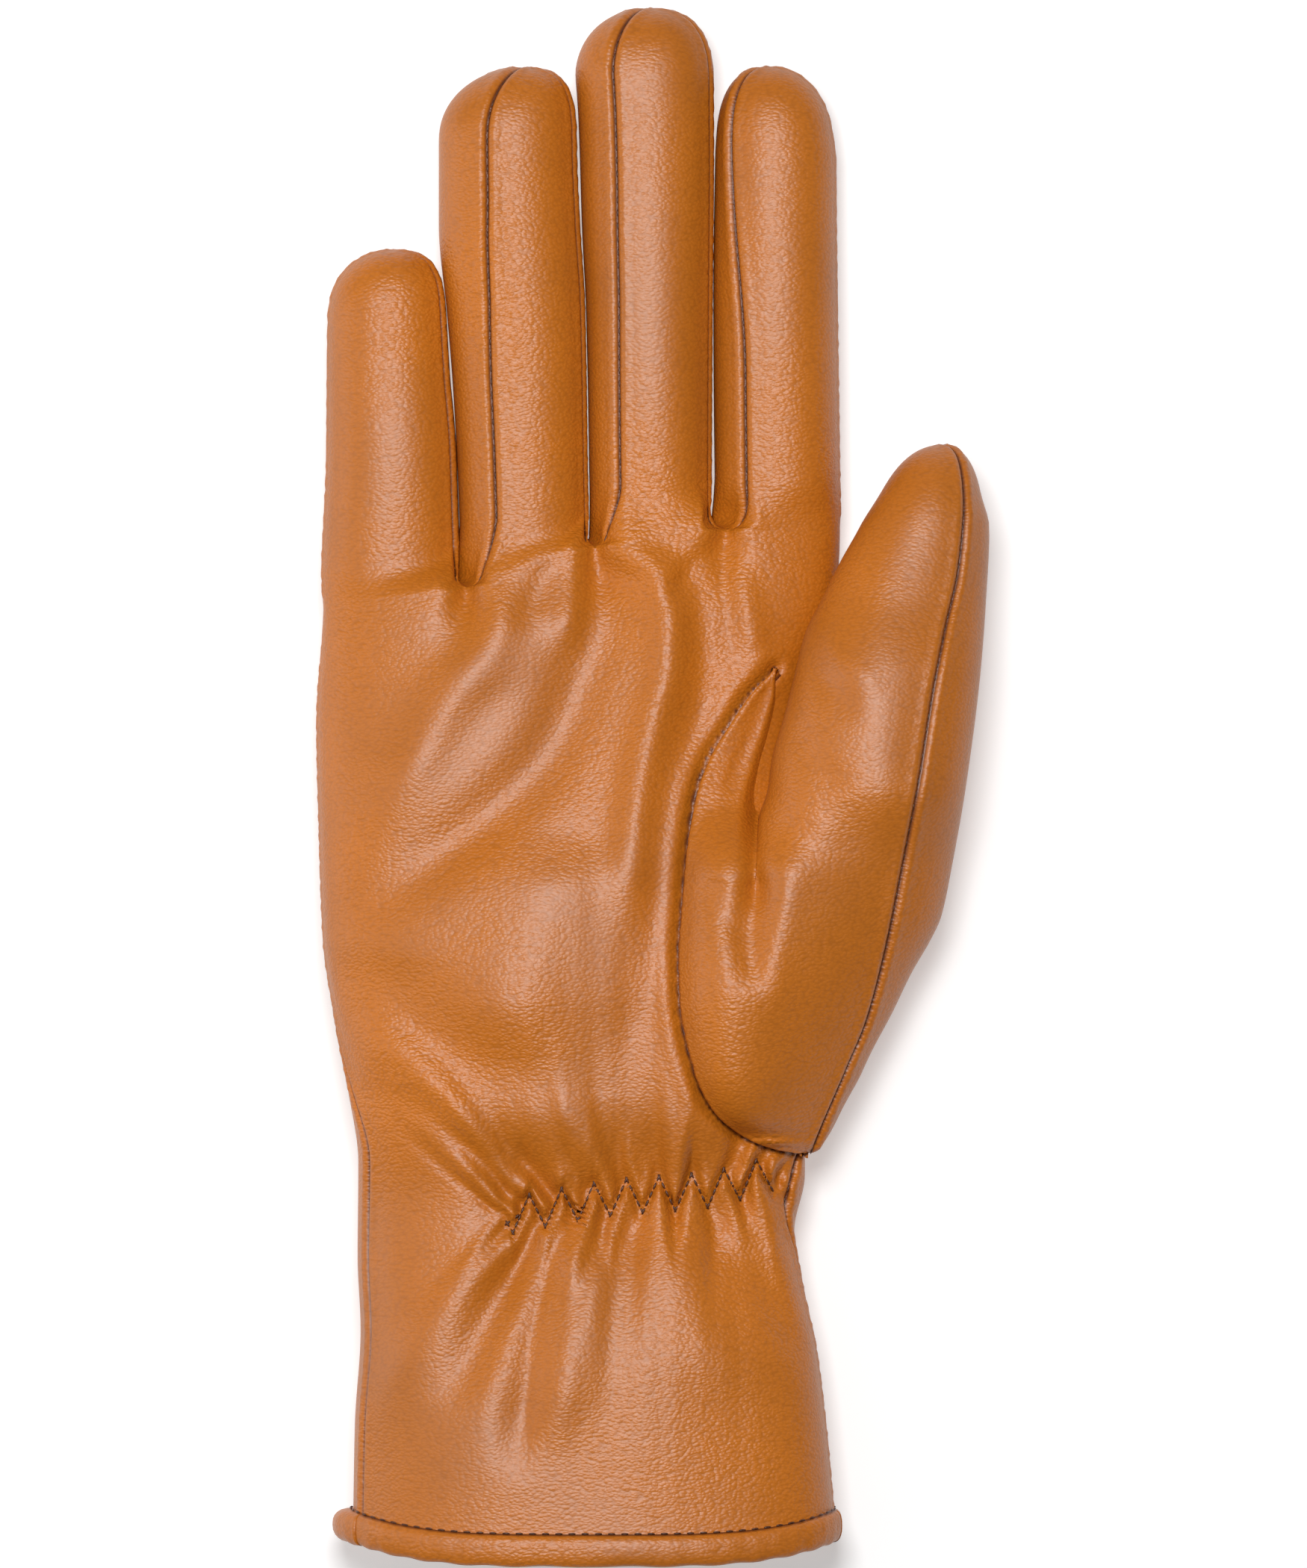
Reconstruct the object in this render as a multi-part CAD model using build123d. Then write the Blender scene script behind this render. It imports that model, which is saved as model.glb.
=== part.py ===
"""Right-hand lined leather glove, lying on its back with the palm up.

Row frame, in millimetres: +Y runs from the hem to the fingertips, +X towards the thumb,
+Z out of the palm. The origin is on the table, under the middle of the glove's box.

Every closed shape is a tube: rounded-rectangle sections lofted along an axis.  The shell,
the lining and what lies between them are the same tube at different insets.
"""
from build123d import *
import os
from collections import namedtuple
from math import cos, radians, sin, tan

# ---------------------------------------------------------------- layers, from outside in
LEATHER = 0.9                 # outer leather
INTERLAYER = (0.95, 1.45)     # elastic and conductive pads, between leather and lining
LINING = (1.5, 2.7)           # knitted lining

# ---------------------------------------------------------------- joints and clearances
FINGER_GAP = 0.8              # free width between neighbouring fingers
RUNNING = 0.15                # clearance each side of a flex line
FLEX_DEPTH = 5.0              # flex axis below the palm-side surface
FLEX_MAX = 60.0               # degrees of bend that the crease allows
FAR = 140.0                   # beyond every part

# ---------------------------------------------------------------- hem, wrist and side seam
HEM_END = -125.0
BINDING_HEIGHT = 5.5
BINDING_PROUD = 1.5
BINDING_ROUND = 1.9
SIDE_SEAM_Z = 13.0
WRIST_Y = -66.4
ELASTIC_WIDTH = 6.4
ELASTIC_SPAN = (-22.0, 18.0)
ZIGZAG_TEETH = 9
ZIGZAG_HEIGHT = 6.0
ZIGZAG_LIFT = 0.45
THREAD_RADIUS = 0.25

BACK_FLAT = 0.2               # how far the table flattens the back of the hand
CORNER = 0.8                  # corner radius over half the smaller side of a section
DOME_ANGLES = (0, 25, 45, 62, 76, 86)
PAD_LENGTH = 20.0             # conductive pad, from the fingertip

# A section of a tube: place along the axis, left and right side, underside and top.
Section = namedtuple("Section", "y left right low high")

# The hand, from the hem to past the flex lines.
HAND = [
    Section(HEM_END + BINDING_HEIGHT, -47.4, 29.0, 1.5, 34.5),
    Section(-95.0, -47.8, 26.8, 0.8, 32.5),
    Section(-67.0, -47.5, 23.6, 0.8, 28.5),
    Section(-50.0, -49.6, 23.6, -BACK_FLAT, 29.0),
    Section(-25.0, -52.6, 23.5, -BACK_FLAT, 29.0),
    Section(0.0, -54.1, 23.0, -BACK_FLAT, 27.5),
    Section(24.0, -53.8, 25.3, -BACK_FLAT, 24.0),
    Section(36.0, -53.5, 29.4, -BACK_FLAT, 21.5),
    Section(50.0, -53.1, 30.2, -BACK_FLAT, 20.0),
    Section(62.0, -53.1, 30.2, -BACK_FLAT, 20.0),
]

# A finger: middle of its flex line, lean to the left in degrees, width at the flex line
# and at the shoulder of the tip, thickness, and length from the flex line to the tip.
Finger = namedtuple("Finger", "name x y lean base tip thick length")
FINGERS = [
    Finger("little", -42.3, 40.0, 1.0, 21.6, 19.2, 17.5, 46.0),
    Finger("ring", -20.75, 46.0, 2.8, 19.9, 21.9, 19.0, 69.7),
    Finger("middle", -0.4, 49.0, 0.5, 19.2, 21.9, 19.5, 76.0),
    Finger("index", 20.0, 49.0, -0.1, 20.0, 18.8, 18.5, 66.6),
]

# Bottom of the slit between neighbouring fingers: x, y and the slit's lean to the left.
CROTCHES = {
    "little_ring": (-30.6, 32.0, 3.4),
    "ring_middle": (-10.0, 38.3, 1.9),
    "middle_index": (9.5, 41.1, 0.0),
}

# The thumb has its own frame: its axis starts at THUMB_START and leans to the right.
THUMB_START = (17.0, -52.0)
THUMB_LEAN = -16.0
THUMB_FLEX = 77.0
THUMB = [
    Section(-6.0, 3.0, 10.0, 10.0, 20.0),
    Section(4.0, -8.0, 15.5, 5.0, 30.0),
    Section(13.5, -15.0, 17.5, 4.0, 33.0),
    Section(35.0, -21.5, 20.6, 3.0, 34.0),
    Section(52.0, -21.5, 18.5, 3.0, 32.0),
    Section(66.0, -17.0, 16.5, 4.0, 29.5),
    Section(76.0, -11.3, 15.4, 5.0, 28.0),
    Section(88.0, -10.8, 13.0, 6.0, 27.0),
    Section(99.4, -8.9, 10.4, 7.0, 25.5),
    Section(107.0, -5.5, 6.0, 9.5, 23.5),
    Section(111.5, -2.0, 2.5, 13.5, 19.5),
]

# Seams round a finger's section, in degrees from its right side, anticlockwise seen
# from the hem: the palm side lies between the first two, the back between the last two.
FINGER_SEAMS = {
    "little": (28.0, 172.0, 188.0, 325.0),
    "ring": (22.0, 118.0, 215.0, 325.0),
    "middle": (22.0, 118.0, 215.0, 325.0),
    "index": (8.0, 122.0, 215.0, 352.0),
}
THUMB_SEAMS = (48.0, 190.0)

parts = {}


def section_face(y, middle_x, middle_z, half_width, half_height, radius):
    """A rounded rectangle standing across the tube's axis."""
    plane = Plane(origin=(middle_x, y, middle_z), x_dir=(1, 0, 0), z_dir=(0, -1, 0))
    return plane * RectangleRounded(2 * half_width, 2 * half_height, radius)


def tube(sections, inset, start_extra=0.0, end_cut=0.0):
    """The tube through these sections, shrunk by inset all round."""
    faces = []
    for i, s in enumerate(sections):
        half_width = (s.right - s.left) / 2
        half_height = (s.high - s.low) / 2
        radius = CORNER * min(half_width, half_height)
        shrink = min(inset, radius * 0.8)
        y = s.y
        if i == 0:
            y -= start_extra
        if i == len(sections) - 1:
            y -= end_cut
        faces.append(section_face(
            y, (s.left + s.right) / 2, (s.low + s.high) / 2,
            half_width - shrink, half_height - shrink, radius - shrink))
    return loft(faces, ruled=True)


def finger_tube(finger, inset):
    """A finger in its own frame: flex line at y 0, axis along +Y, round tip."""
    half_thick = finger.thick / 2
    dome = finger.tip * 0.46
    shoulder = finger.length - dome
    start = -8.0
    faces = [section_face(
        start, 0, half_thick, finger.base / 2 - inset, half_thick - inset,
        CORNER * min(finger.base / 2, half_thick) - inset)]
    for angle in DOME_ANGLES:
        part = cos(radians(angle))
        y = shoulder + (dome - inset) * sin(radians(angle))
        radius = (CORNER * half_thick - inset) * part
        faces.append(section_face(
            y, 0, half_thick, (finger.tip / 2 - inset) * part,
            (half_thick - inset) * part, radius))
    return loft(faces, ruled=True)


def sector(middle_z, start_angle, end_angle, y_from=-60.0, y_to=140.0, middle_x=0.0):
    """Wedge round a tube's axis, from one seam to the next, anticlockwise seen from the hem."""
    points = [(0.0, 0.0)]
    steps = max(2, int((end_angle - start_angle) // 45) + 1)
    for i in range(steps + 1):
        angle = radians(start_angle + (end_angle - start_angle) * i / steps)
        points.append((FAR * cos(angle), FAR * sin(angle)))
    plane = Plane(origin=(middle_x, y_to, middle_z), x_dir=(1, 0, 0), z_dir=(0, -1, 0))
    return extrude(plane * make_face(Polyline(*points, close=True)), y_to - y_from)


def flex_profile(axis_z, side, half_width):
    """What a flex line takes away: side -1 from the moving finger, side 1 from the hand.

    Straight below the axis and slanted by half the bend above it, so that the two slanted
    faces close on each other at the full bend.
    """
    near = -side * RUNNING
    slant = -side * (RUNNING + (FAR - axis_z) * tan(radians(FLEX_MAX / 2)))
    points = [(near, -10), (near, axis_z), (slant, FAR), (side * FAR, FAR), (side * FAR, -10)]
    plane = Plane(origin=(-half_width, 0, 0), x_dir=(0, 1, 0), z_dir=(1, 0, 0))
    return extrude(plane * make_face(Polyline(*points, close=True)), 2 * half_width)


def finger_frame(finger):
    return Pos(finger.x, finger.y, 0) * Rot(0, 0, finger.lean)


def thumb_frame():
    return Pos(THUMB_START[0], THUMB_START[1], 0) * Rot(0, 0, THUMB_LEAN)


def keep(name, shape, color="#B5713A"):
    shape.label = name
    shape.color = Color(color)
    parts[name] = shape


# ---------------------------------------------------------------- fingers
def make_finger(finger):
    """Palm side, back, side strips and lining of one finger, from its flex line up."""
    axis_z = finger.thick - FLEX_DEPTH
    middle = finger.thick / 2
    notch = flex_profile(axis_z, -1, FAR)
    frame = finger_frame(finger)
    shell = finger_tube(finger, 0) - finger_tube(finger, LEATHER) - notch
    right_front, left_front, left_back, right_back = FINGER_SEAMS[finger.name]
    pieces = {
        "palm_side": (right_front, left_front),
        "back": (left_back, right_back),
    }
    if finger.name != "little":
        pieces["left_fourchette"] = (left_front, left_back)
    if finger.name != "index":
        pieces["right_fourchette"] = (right_back, right_front + 360)
    if finger.name == "little":
        pieces["palm_side"] = (right_front, 180.0)
        pieces["back"] = (180.0, right_back)
    if finger.name == "index":
        pieces["palm_side"] = (0.0, left_front)
        pieces["back"] = (left_back, 360.0)
    for piece, (start, end) in pieces.items():
        keep(f"{finger.name}_{piece}", frame * (shell & sector(middle, start, end)))
    lining = finger_tube(finger, LINING[0]) - finger_tube(finger, LINING[1]) - notch
    keep(f"{finger.name}_lining", frame * lining, "#8A8178")
    if finger.name == "index":
        layer = finger_tube(finger, INTERLAYER[0]) - finger_tube(finger, INTERLAYER[1])
        pad = layer & sector(middle, 45, 135, finger.length - PAD_LENGTH, finger.length)
        keep("index_conductive_pad", frame * pad, "#5C5F66")


# ---------------------------------------------------------------- hand
def hand_cutters():
    """The flex lines of the four fingers and the slits between them, as one list."""
    cutters = []
    for finger in FINGERS:
        right_room = FAR if finger.name == "index" else finger.base / 2 + FINGER_GAP / 2
        left_room = FAR if finger.name == "little" else finger.base / 2 + FINGER_GAP / 2
        profile = flex_profile(finger.thick - FLEX_DEPTH, 1, FAR)
        window = Pos((right_room - left_room) / 2, 0, 0) * Box(right_room + left_room, 3 * FAR, 3 * FAR)
        cutters.append(finger_frame(finger) * (profile & window))
    for x, y, lean in CROTCHES.values():
        slit = Pos(0, FAR / 8, 0) * Box(FINGER_GAP, FAR / 4, 3 * FAR)
        cutters.append(Pos(x, y, 0) * Rot(0, 0, lean) * slit)
    return cutters


def cut_all(shape, cutters):
    for cutter in cutters:
        shape = shape - cutter
    return shape


def thumb_tube(inset):
    return thumb_frame() * tube(THUMB, inset, end_cut=inset)


def make_hand():
    """Palm and back panels, the slit bottoms between the fingers, and the hand's lining."""
    cutters = hand_cutters()
    outside = tube(HAND, 0)
    under_leather = tube(HAND, LEATHER, start_extra=1)
    shell = cut_all(outside - under_leather, cutters)
    shell = shell - thumb_tube(LEATHER)
    above = Pos(0, 0, SIDE_SEAM_Z + FAR) * Box(4 * FAR, 6 * FAR, 2 * FAR)
    below = Pos(0, 0, SIDE_SEAM_Z - FAR) * Box(4 * FAR, 6 * FAR, 2 * FAR)
    keep("palm_panel", shell & above)
    table = Pos(0, 0, -FAR) * Box(4 * FAR, 6 * FAR, 2 * FAR)
    keep("back_panel", (shell & below) - table)

    lining = tube(HAND, LINING[0]) - tube(HAND, LINING[1], start_extra=1) - thumb_tube(LINING[1])
    lining = cut_all(lining, cutters)
    for name, (x, y, lean) in CROTCHES.items():
        length = 20.0
        block = Pos(0, length / 2 - LEATHER, 0) * Box(FINGER_GAP + 2 * LEATHER, length, 3 * FAR)
        block = Pos(x, y, 0) * Rot(0, 0, lean) * block
        web = cut_all(block & under_leather, cutters)
        lining = lining - block
        keep(f"fourchette_bottom_{name}", web)
    keep("hand_lining", lining, "#8A8178")


def make_binding():
    """The hem's binding: a padded strip that wraps the cuff's edge, joined at the sides."""
    edge = HAND[0]
    def ring_face(proud):
        half_width = (edge.right - edge.left) / 2
        half_height = (edge.high - edge.low) / 2
        return section_face(
            HEM_END + BINDING_HEIGHT, (edge.left + edge.right) / 2, (edge.low + edge.high) / 2,
            half_width + proud, half_height + proud, CORNER * half_height + proud)
    ring = extrude(ring_face(BINDING_PROUD), BINDING_HEIGHT)
    ring = ring - extrude(ring_face(-LINING[1] - 0.2), BINDING_HEIGHT)
    rims = [e for e in ring.edges() if abs(e.center().Y - HEM_END) < 1e-3
            or abs(e.center().Y - HEM_END - BINDING_HEIGHT) < 1e-3]
    middle_z = (edge.low + edge.high) / 2
    outer = [e for e in rims if e.bounding_box().size.X > 0.1 or e.bounding_box().size.Z > 0.1]
    ring = fillet(outer, BINDING_ROUND)
    above = Pos(0, 0, middle_z + FAR) * Box(4 * FAR, 6 * FAR, 2 * FAR)
    keep("hem_binding_palm", ring & above)
    keep("hem_binding_back", ring - above)


def make_wrist():
    """The elastic inside the palm side of the wrist, and the zigzag that holds it."""
    layer = tube(HAND, INTERLAYER[0]) - tube(HAND, INTERLAYER[1], start_extra=1)
    start, end = ELASTIC_SPAN
    window = Pos((start + end) / 2, WRIST_Y, SIDE_SEAM_Z + FAR) * Box(end - start, ELASTIC_WIDTH, 2 * FAR)
    keep("wrist_elastic", layer & window, "#E6DDCB")

    below, above = HAND[2], HAND[1]
    def surface_z(y):
        nearer = HAND[3] if y > below.y else above
        share = (y - below.y) / (nearer.y - below.y)
        return below.high + share * (nearer.high - below.high)
    pitch = (end - start) / ZIGZAG_TEETH
    corners = []
    for i in range(2 * ZIGZAG_TEETH + 1):
        y = WRIST_Y + (ZIGZAG_HEIGHT / 2 if i % 2 else -ZIGZAG_HEIGHT / 2)
        corners.append(Vector(start + i * pitch / 2, y, surface_z(y) + ZIGZAG_LIFT))
    threads = []
    for a, b in zip(corners, corners[1:]):
        shorten = (b - a).normalized() * (2 * THREAD_RADIUS)
        line = Edge.make_line(a + shorten, b - shorten)
        threads.append(sweep(Plane(line @ 0, z_dir=line % 0) * Circle(THREAD_RADIUS), line))
    keep("wrist_zigzag_thread", Compound(children=threads), "#6E3B17")


# ---------------------------------------------------------------- thumb
def make_thumb():
    """The set-in thumb: its base on the hand, and the moving part beyond its flex line."""
    frame = thumb_frame()
    flex = THUMB[6]
    axis_z = flex.high - FLEX_DEPTH
    middle_z = (flex.low + flex.high) / 2
    middle_x = (flex.left + flex.right) / 2
    shift = Pos(0, THUMB_FLEX, 0)
    moving_cut = shift * flex_profile(axis_z, -1, FAR)
    still_cut = shift * flex_profile(axis_z, 1, FAR)
    outside, under = tube(THUMB, 0), tube(THUMB, LEATHER, end_cut=LEATHER)
    shell = outside - under
    seam, inner_seam = THUMB_SEAMS
    front = sector(middle_z, seam, inner_seam, middle_x=middle_x)
    back = sector(middle_z, inner_seam, seam + 360, middle_x=middle_x)
    hand_solid = tube(HAND, 0)
    for side, wedge in (("palm_side", front), ("back", back)):
        half = shell & wedge
        keep(f"thumb_{side}", frame * (half - moving_cut))
        base = frame * (half - still_cut) - hand_solid
        keep(f"thumb_base_{side}", largest(base))
    lining = tube(THUMB, LINING[0], end_cut=LINING[0]) - tube(THUMB, LINING[1], end_cut=LINING[1])
    keep("thumb_lining", frame * (lining - moving_cut), "#8A8178")
    base_lining = frame * (lining - still_cut) - tube(HAND, LINING[0])
    keep("thumb_base_lining", largest(base_lining), "#8A8178")
    layer = tube(THUMB, INTERLAYER[0], end_cut=INTERLAYER[0]) - tube(THUMB, INTERLAYER[1], end_cut=INTERLAYER[1])
    tip = THUMB[-1].y
    pad = layer & sector(middle_z, 60, 130, tip - PAD_LENGTH, tip, middle_x)
    keep("thumb_conductive_pad", frame * pad, "#5C5F66")


def largest(shape):
    """The main solid of a cut shape."""
    return max(shape.solids(), key=lambda s: s.volume)


for one in FINGERS:
    make_finger(one)
make_hand()
make_binding()
make_wrist()
make_thumb()

os.makedirs("parts", exist_ok=True)
for node, solid in parts.items():
    export_step(solid, f"parts/{node}.step")
    box = solid.bounding_box()
    print(node, len(solid.solids()), round(solid.volume, 1), box.min, box.max)
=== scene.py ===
from math import cos, pi, radians, sin

import bpy
import numpy as np
from bpy.props import FloatProperty, FloatVectorProperty, PointerProperty
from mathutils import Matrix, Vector


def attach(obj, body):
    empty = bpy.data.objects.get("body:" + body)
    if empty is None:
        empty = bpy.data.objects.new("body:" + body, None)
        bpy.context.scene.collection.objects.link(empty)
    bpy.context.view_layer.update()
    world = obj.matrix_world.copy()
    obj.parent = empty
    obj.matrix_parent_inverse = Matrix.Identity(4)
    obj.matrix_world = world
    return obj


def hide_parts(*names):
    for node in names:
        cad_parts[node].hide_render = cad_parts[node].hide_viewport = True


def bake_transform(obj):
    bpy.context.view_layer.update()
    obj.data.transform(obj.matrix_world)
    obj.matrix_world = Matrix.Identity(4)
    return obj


bl_info = {
    "name": "Leather Touchscreen Glove",
    "version": (1, 0, 0),
    "blender": (4, 5, 0),
    "location": "3D View > Sidebar > Glove",
    "description": "Sews a lined leather glove around its packed frame, palm up",
    "category": "Object",
}

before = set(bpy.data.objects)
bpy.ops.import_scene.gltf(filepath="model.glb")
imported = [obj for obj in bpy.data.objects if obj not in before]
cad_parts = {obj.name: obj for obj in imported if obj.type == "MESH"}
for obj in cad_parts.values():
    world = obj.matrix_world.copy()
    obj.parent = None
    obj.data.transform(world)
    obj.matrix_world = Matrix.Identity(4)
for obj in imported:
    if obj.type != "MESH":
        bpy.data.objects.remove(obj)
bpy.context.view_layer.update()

# All glove shapes below are worked out in millimetres in the frame's axes and written to
# meshes in metres.  +Y runs to the fingertips, +X to the thumb, +Z out of the palm.
MM = 0.001
SEED = 7


# ------------------------------------------------------------------ small numeric tools
def smooth(t):
    """0 before 0, 1 after 1, with a soft start and end."""
    t = np.clip(t, 0.0, 1.0)
    return t * t * (3 - 2 * t)


def bell(t):
    return np.exp(-np.square(t))


def through(*points):
    """A smooth function of one number through (place, value) points, level beyond them."""
    place, value = np.array(points, float).T
    step = np.diff(place)
    secant = np.diff(value) / step
    slope = np.zeros(len(place))
    before, after = secant[:-1], secant[1:]
    total = before + after
    steady = before * after > 0
    slope[1:-1] = np.where(steady, 2 * before * after / np.where(steady, total, 1), 0)
    slope[0], slope[-1] = secant[0], secant[-1]

    def value_at(x):
        x = np.clip(x, place[0], place[-1])
        i = np.clip(np.searchsorted(place, x, side="right") - 1, 0, len(place) - 2)
        t = (x - place[i]) / step[i]
        return (
            value[i] * (1 + 2 * t) * (1 - t) ** 2
            + value[i + 1] * t * t * (3 - 2 * t)
            + step[i] * (slope[i] * t * (1 - t) ** 2 - slope[i + 1] * t * t * (1 - t))
        )

    return value_at


def power(value, exponent):
    return np.sign(value) * np.abs(value) ** exponent


def wrap(angle):
    """The same angle between -180 and 180 degrees."""
    return (np.asarray(angle, float) + 180) % 360 - 180


def share_across(x, left, right):
    """How far a place is across between two edges, from -1 at the left one to 1."""
    return np.clip((x - (left + right) / 2) / np.maximum((right - left) / 2, 1e-6), -1, 1)


def seam_spacing(width, step, end=True):
    """Shares of a panel's width for its columns, close together beside a seam."""
    low = np.array([0, 0.2, 0.4, 0.65, 0.95, 1.35, 1.85]) / width
    high = 1 - low[::-1] if end else 1 - low[:1]
    count = max(3, int((high[0] - low[-1]) * width / step) + 1)
    return np.concatenate([low[:-1], np.linspace(low[-1], high[0], count), high[1:]])


def soft_noise(seed, spread=1.0):
    """A smooth random function of one number, one random value at every whole step."""
    values = np.random.default_rng(seed).uniform(-spread, spread, 64)

    def value_at(x):
        i = np.floor(x).astype(int)
        t = smooth(x - i)
        return values[i % 64] * (1 - t) + values[(i + 1) % 64] * t

    return value_at


# ------------------------------------------------------------------ the hand's own shape
HEM_Y = -119.4
left_edge = through(
    (-120, -48.2), (-103, -47.9), (-88, -47.0), (-76, -47.5), (-61, -47.4), (-49, -49.1),
    (-37, -51.2), (-25, -52.9), (-7, -53.6), (10, -54.0), (23, -53.3), (41, -52.7), (60, -52.5))
right_edge = through(
    (-120, 29.3), (-103, 27.7), (-91, 26.2), (-79, 23.7), (-72, 22.8), (-63, 24.5), (-50, 24.5),
    (-20, 24.0), (5, 23.5), (20, 26.0), (30, 29.3), (41, 30.2), (60, 29.9))
palm_height = through(
    (-120, 34.2), (-95, 32.5), (-67, 27.6), (-52, 29.6), (-36, 30.0), (-22, 28.8), (-8, 26.6),
    (8, 24.2), (24, 22.8), (36, 20.9), (50, 19.6))
back_height = through((-120, 1.6), (-95, 0.9), (-67, 0.9), (-50, 0.0), (60, 0.0))
PALM_ROUND = 2.6
BACK_ROUND = 3.2
MIDDLE_SHARE = 0.47     # how high the hand is widest, as a share of its thickness
STEEP = 0.55            # sine of the angle above which the leather carries all its folds

# Bottoms of the three slits between the fingers, and the ends of the line through them.
CROTCH_X = (-29.9, -9.3, 11.7)
CROTCH_Y = (31.6, 38.2, 40.8)
BACK_CROTCH_X = (-32.0, -10.6, 9.1)
crotch_line = through((-54, 28), (-29.9, 31.6), (-9.3, 38.2), (11.7, 40.8), (30, 41))
CROTCH_DIP = 2.8

# The wrist's elastic and its zigzag.
ZIG_START, ZIG_END, ZIG_TEETH = -22.4, 19.2, 8
zig_middle = through((-24, -69.4), (-5, -66.2), (8, -65.2), (20, -62.2))
ZIG_HEIGHT = 5.6
PITCH = (ZIG_END - ZIG_START) / ZIG_TEETH
fold_size = soft_noise(SEED, 0.3)
fold_reach = soft_noise(SEED + 1, 0.5)


def fan(x, rise, lean, spread):
    """Where on the wrist line the fold through a point starts: the folds fan out from it."""
    return (x - lean * rise) / (1 + spread * np.minimum(rise, 40))


def zigzag(x):
    """The line of the zigzag, level beyond both its ends."""
    turn = (x - ZIG_START) / PITCH
    inside = smooth((turn + 0.6) / 0.6) * smooth((ZIG_TEETH + 0.6 - turn) / 0.6)
    return zig_middle(x) + ZIG_HEIGHT / 2 * inside * (1 - 4 * np.abs(turn % 1 - 0.5))


def gathers(x, y):
    """Height of the folds that the elastic draws up above and below its zigzag."""
    line, middle = zigzag(x), zig_middle(x)
    total = -1.0 * bell((y - line) / 1.5) * smooth((x - ZIG_START + 2) / 3)
    # Puffs end in the lower points, tents hang from the upper ones.
    for side, ridge, reach, lean, spread in (
            (1, 0.0, 6.5, -0.12, 0.040), (-1, 0.5, 7.0, -0.12, 0.028)):
        away = np.maximum(side * (y - line), 0)
        root = fan(x, np.maximum(side * (y - middle), 0), lean, spread)
        turn = (root - ZIG_START) / PITCH
        inside = smooth((root - ZIG_START + 4.5) / 5) * smooth((ZIG_END + 4.5 - root) / 5)
        size = 1 + fold_size(turn + 11 * ridge)
        length = reach * (1 + fold_reach(turn + 23 * ridge))
        valley = 0.5 - 0.5 * np.cos(2 * pi * (turn - ridge))
        fade = np.exp(-away / length) * smooth(away / 2.2)
        total = total + inside * size * fade * (1.3 - 2.8 * valley ** 1.3)
        wide = np.sin(pi * turn * 0.8 + 0.9 + 2 * ridge)
        total = total + inside * 1.9 * wide * smooth(away / 10) * np.exp(-away / 17)
    waist = bell((y - middle) / 9.5) * smooth((x + 32) / 12)
    return total - 1.6 * waist


# Long soft folds of the palm: places (along Y, across X) on the way, width and depth.
PALM_FOLDS = (
    (((-24, -4), (-8, -3), (4, -1.2), (11, 0.5), (19, 2.6), (27, 2.9), (33, 1.2), (38, -3.4)),
     3.4, 1.9),
    (((-25, -49), (-13, -35), (5, -16.7), (17, -11.3), (27, -8.0), (36, -8.2)), 5.2, -2.0),
    (((-6, -43), (4, -38), (13, -33), (21, -27), (29, -24.6)), 4.6, 1.5),
    (((24, -13.8), (37, -10.8)), 2.2, 0.9),
    (((2, 6.2), (19, 8.2), (34, 6.4)), 3.4, -1.0),
    (((27, -20), (33, -17.4), (37, -15.0)), 2.6, -0.8),
    (((18, 17), (27, 15.5), (38, 12.2)), 2.4, 0.7),
    (((20, 12.5), (30, 12.0), (38, 11)), 2.0, -0.6),
    (((31, 4), (35, 6), (38, 9.5)), 1.8, -0.7),
    (((-44, -24), (-30, -20), (-12, -14)), 9.5, 1.5),
    (((-50, -20), (-38, -36), (-28, -47)), 7.0, -1.0),
    (((-58, -27), (-50, -33), (-40, -44)), 3.8, 1.2),
    (((-62, -26), (-56, -33), (-48, -43)), 3.0, -1.1),
    (((-46, -4), (-30, 0), (-14, 2.5)), 5.0, -0.9),
    (((-108, -22), (-92, -19.5), (-80, -15.8), (-77, -15.2)), 3.2, -1.7),
    (((-98, -31), (-86, -26), (-76, -21)), 3.4, -1.0),
    (((-104, -15), (-90, -12), (-76, -9)), 4.4, 1.2),
    (((-96, 12), (-84, 8), (-76, 6)), 5.5, 1.0),
    (((-92, 24), (-84, 20), (-75, 15)), 3.2, -0.9),
)


def long_fold(x, y, way, width, depth):
    """One soft ridge or valley that follows a curve up the palm and fades out at its ends."""
    low, high = way[0][0], way[-1][0]
    curve = through(*way)
    slope = (curve(y + 1) - curve(y - 1)) / 2
    ends = smooth((y - low + 5) / (5 + 0.3 * (high - low))) * smooth((high + 5 - y) / 10)
    return depth * bell((x - curve(y)) / (width * np.sqrt(1 + slope ** 2))) * ends


def fold(x, y, start, end, width, depth):
    """One soft ridge or valley along a line, fading out at both ends."""
    ax, ay = start
    bx, by = end
    length = np.hypot(bx - ax, by - ay)
    ux, uy = (bx - ax) / length, (by - ay) / length
    along = ((x - ax) * ux + (y - ay) * uy) / length
    across = (x - ax) * uy - (y - ay) * ux
    bend = 0.06 * length * np.sin(pi * np.clip(along, 0, 1))
    ends = smooth((along + 0.35) / 0.5) * smooth((1.35 - along) / 0.5)
    return depth * bell((across - bend) / width) * ends


def palm_relief(x, y):
    """What the palm's folds, knuckle dips and wrist gathers add to its height."""
    height = gathers(x, y)
    for way, width, depth in PALM_FOLDS:
        height = height + long_fold(x, y, way, width, depth)
    return height - crotch_dips(x, y, CROTCH_X)


def crotch_dips(x, y, centres):
    """How far the leather is drawn in below the slits between the fingers."""
    dips = 0
    for cx, cy in zip(centres, CROTCH_Y):
        below = np.maximum(cy - y, 0)
        fade = 1 - smooth(below / 15)
        dips = dips + CROTCH_DIP * fade ** 1.5 * bell((x - cx) / (1.8 + 0.28 * below))
    return dips


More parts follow.
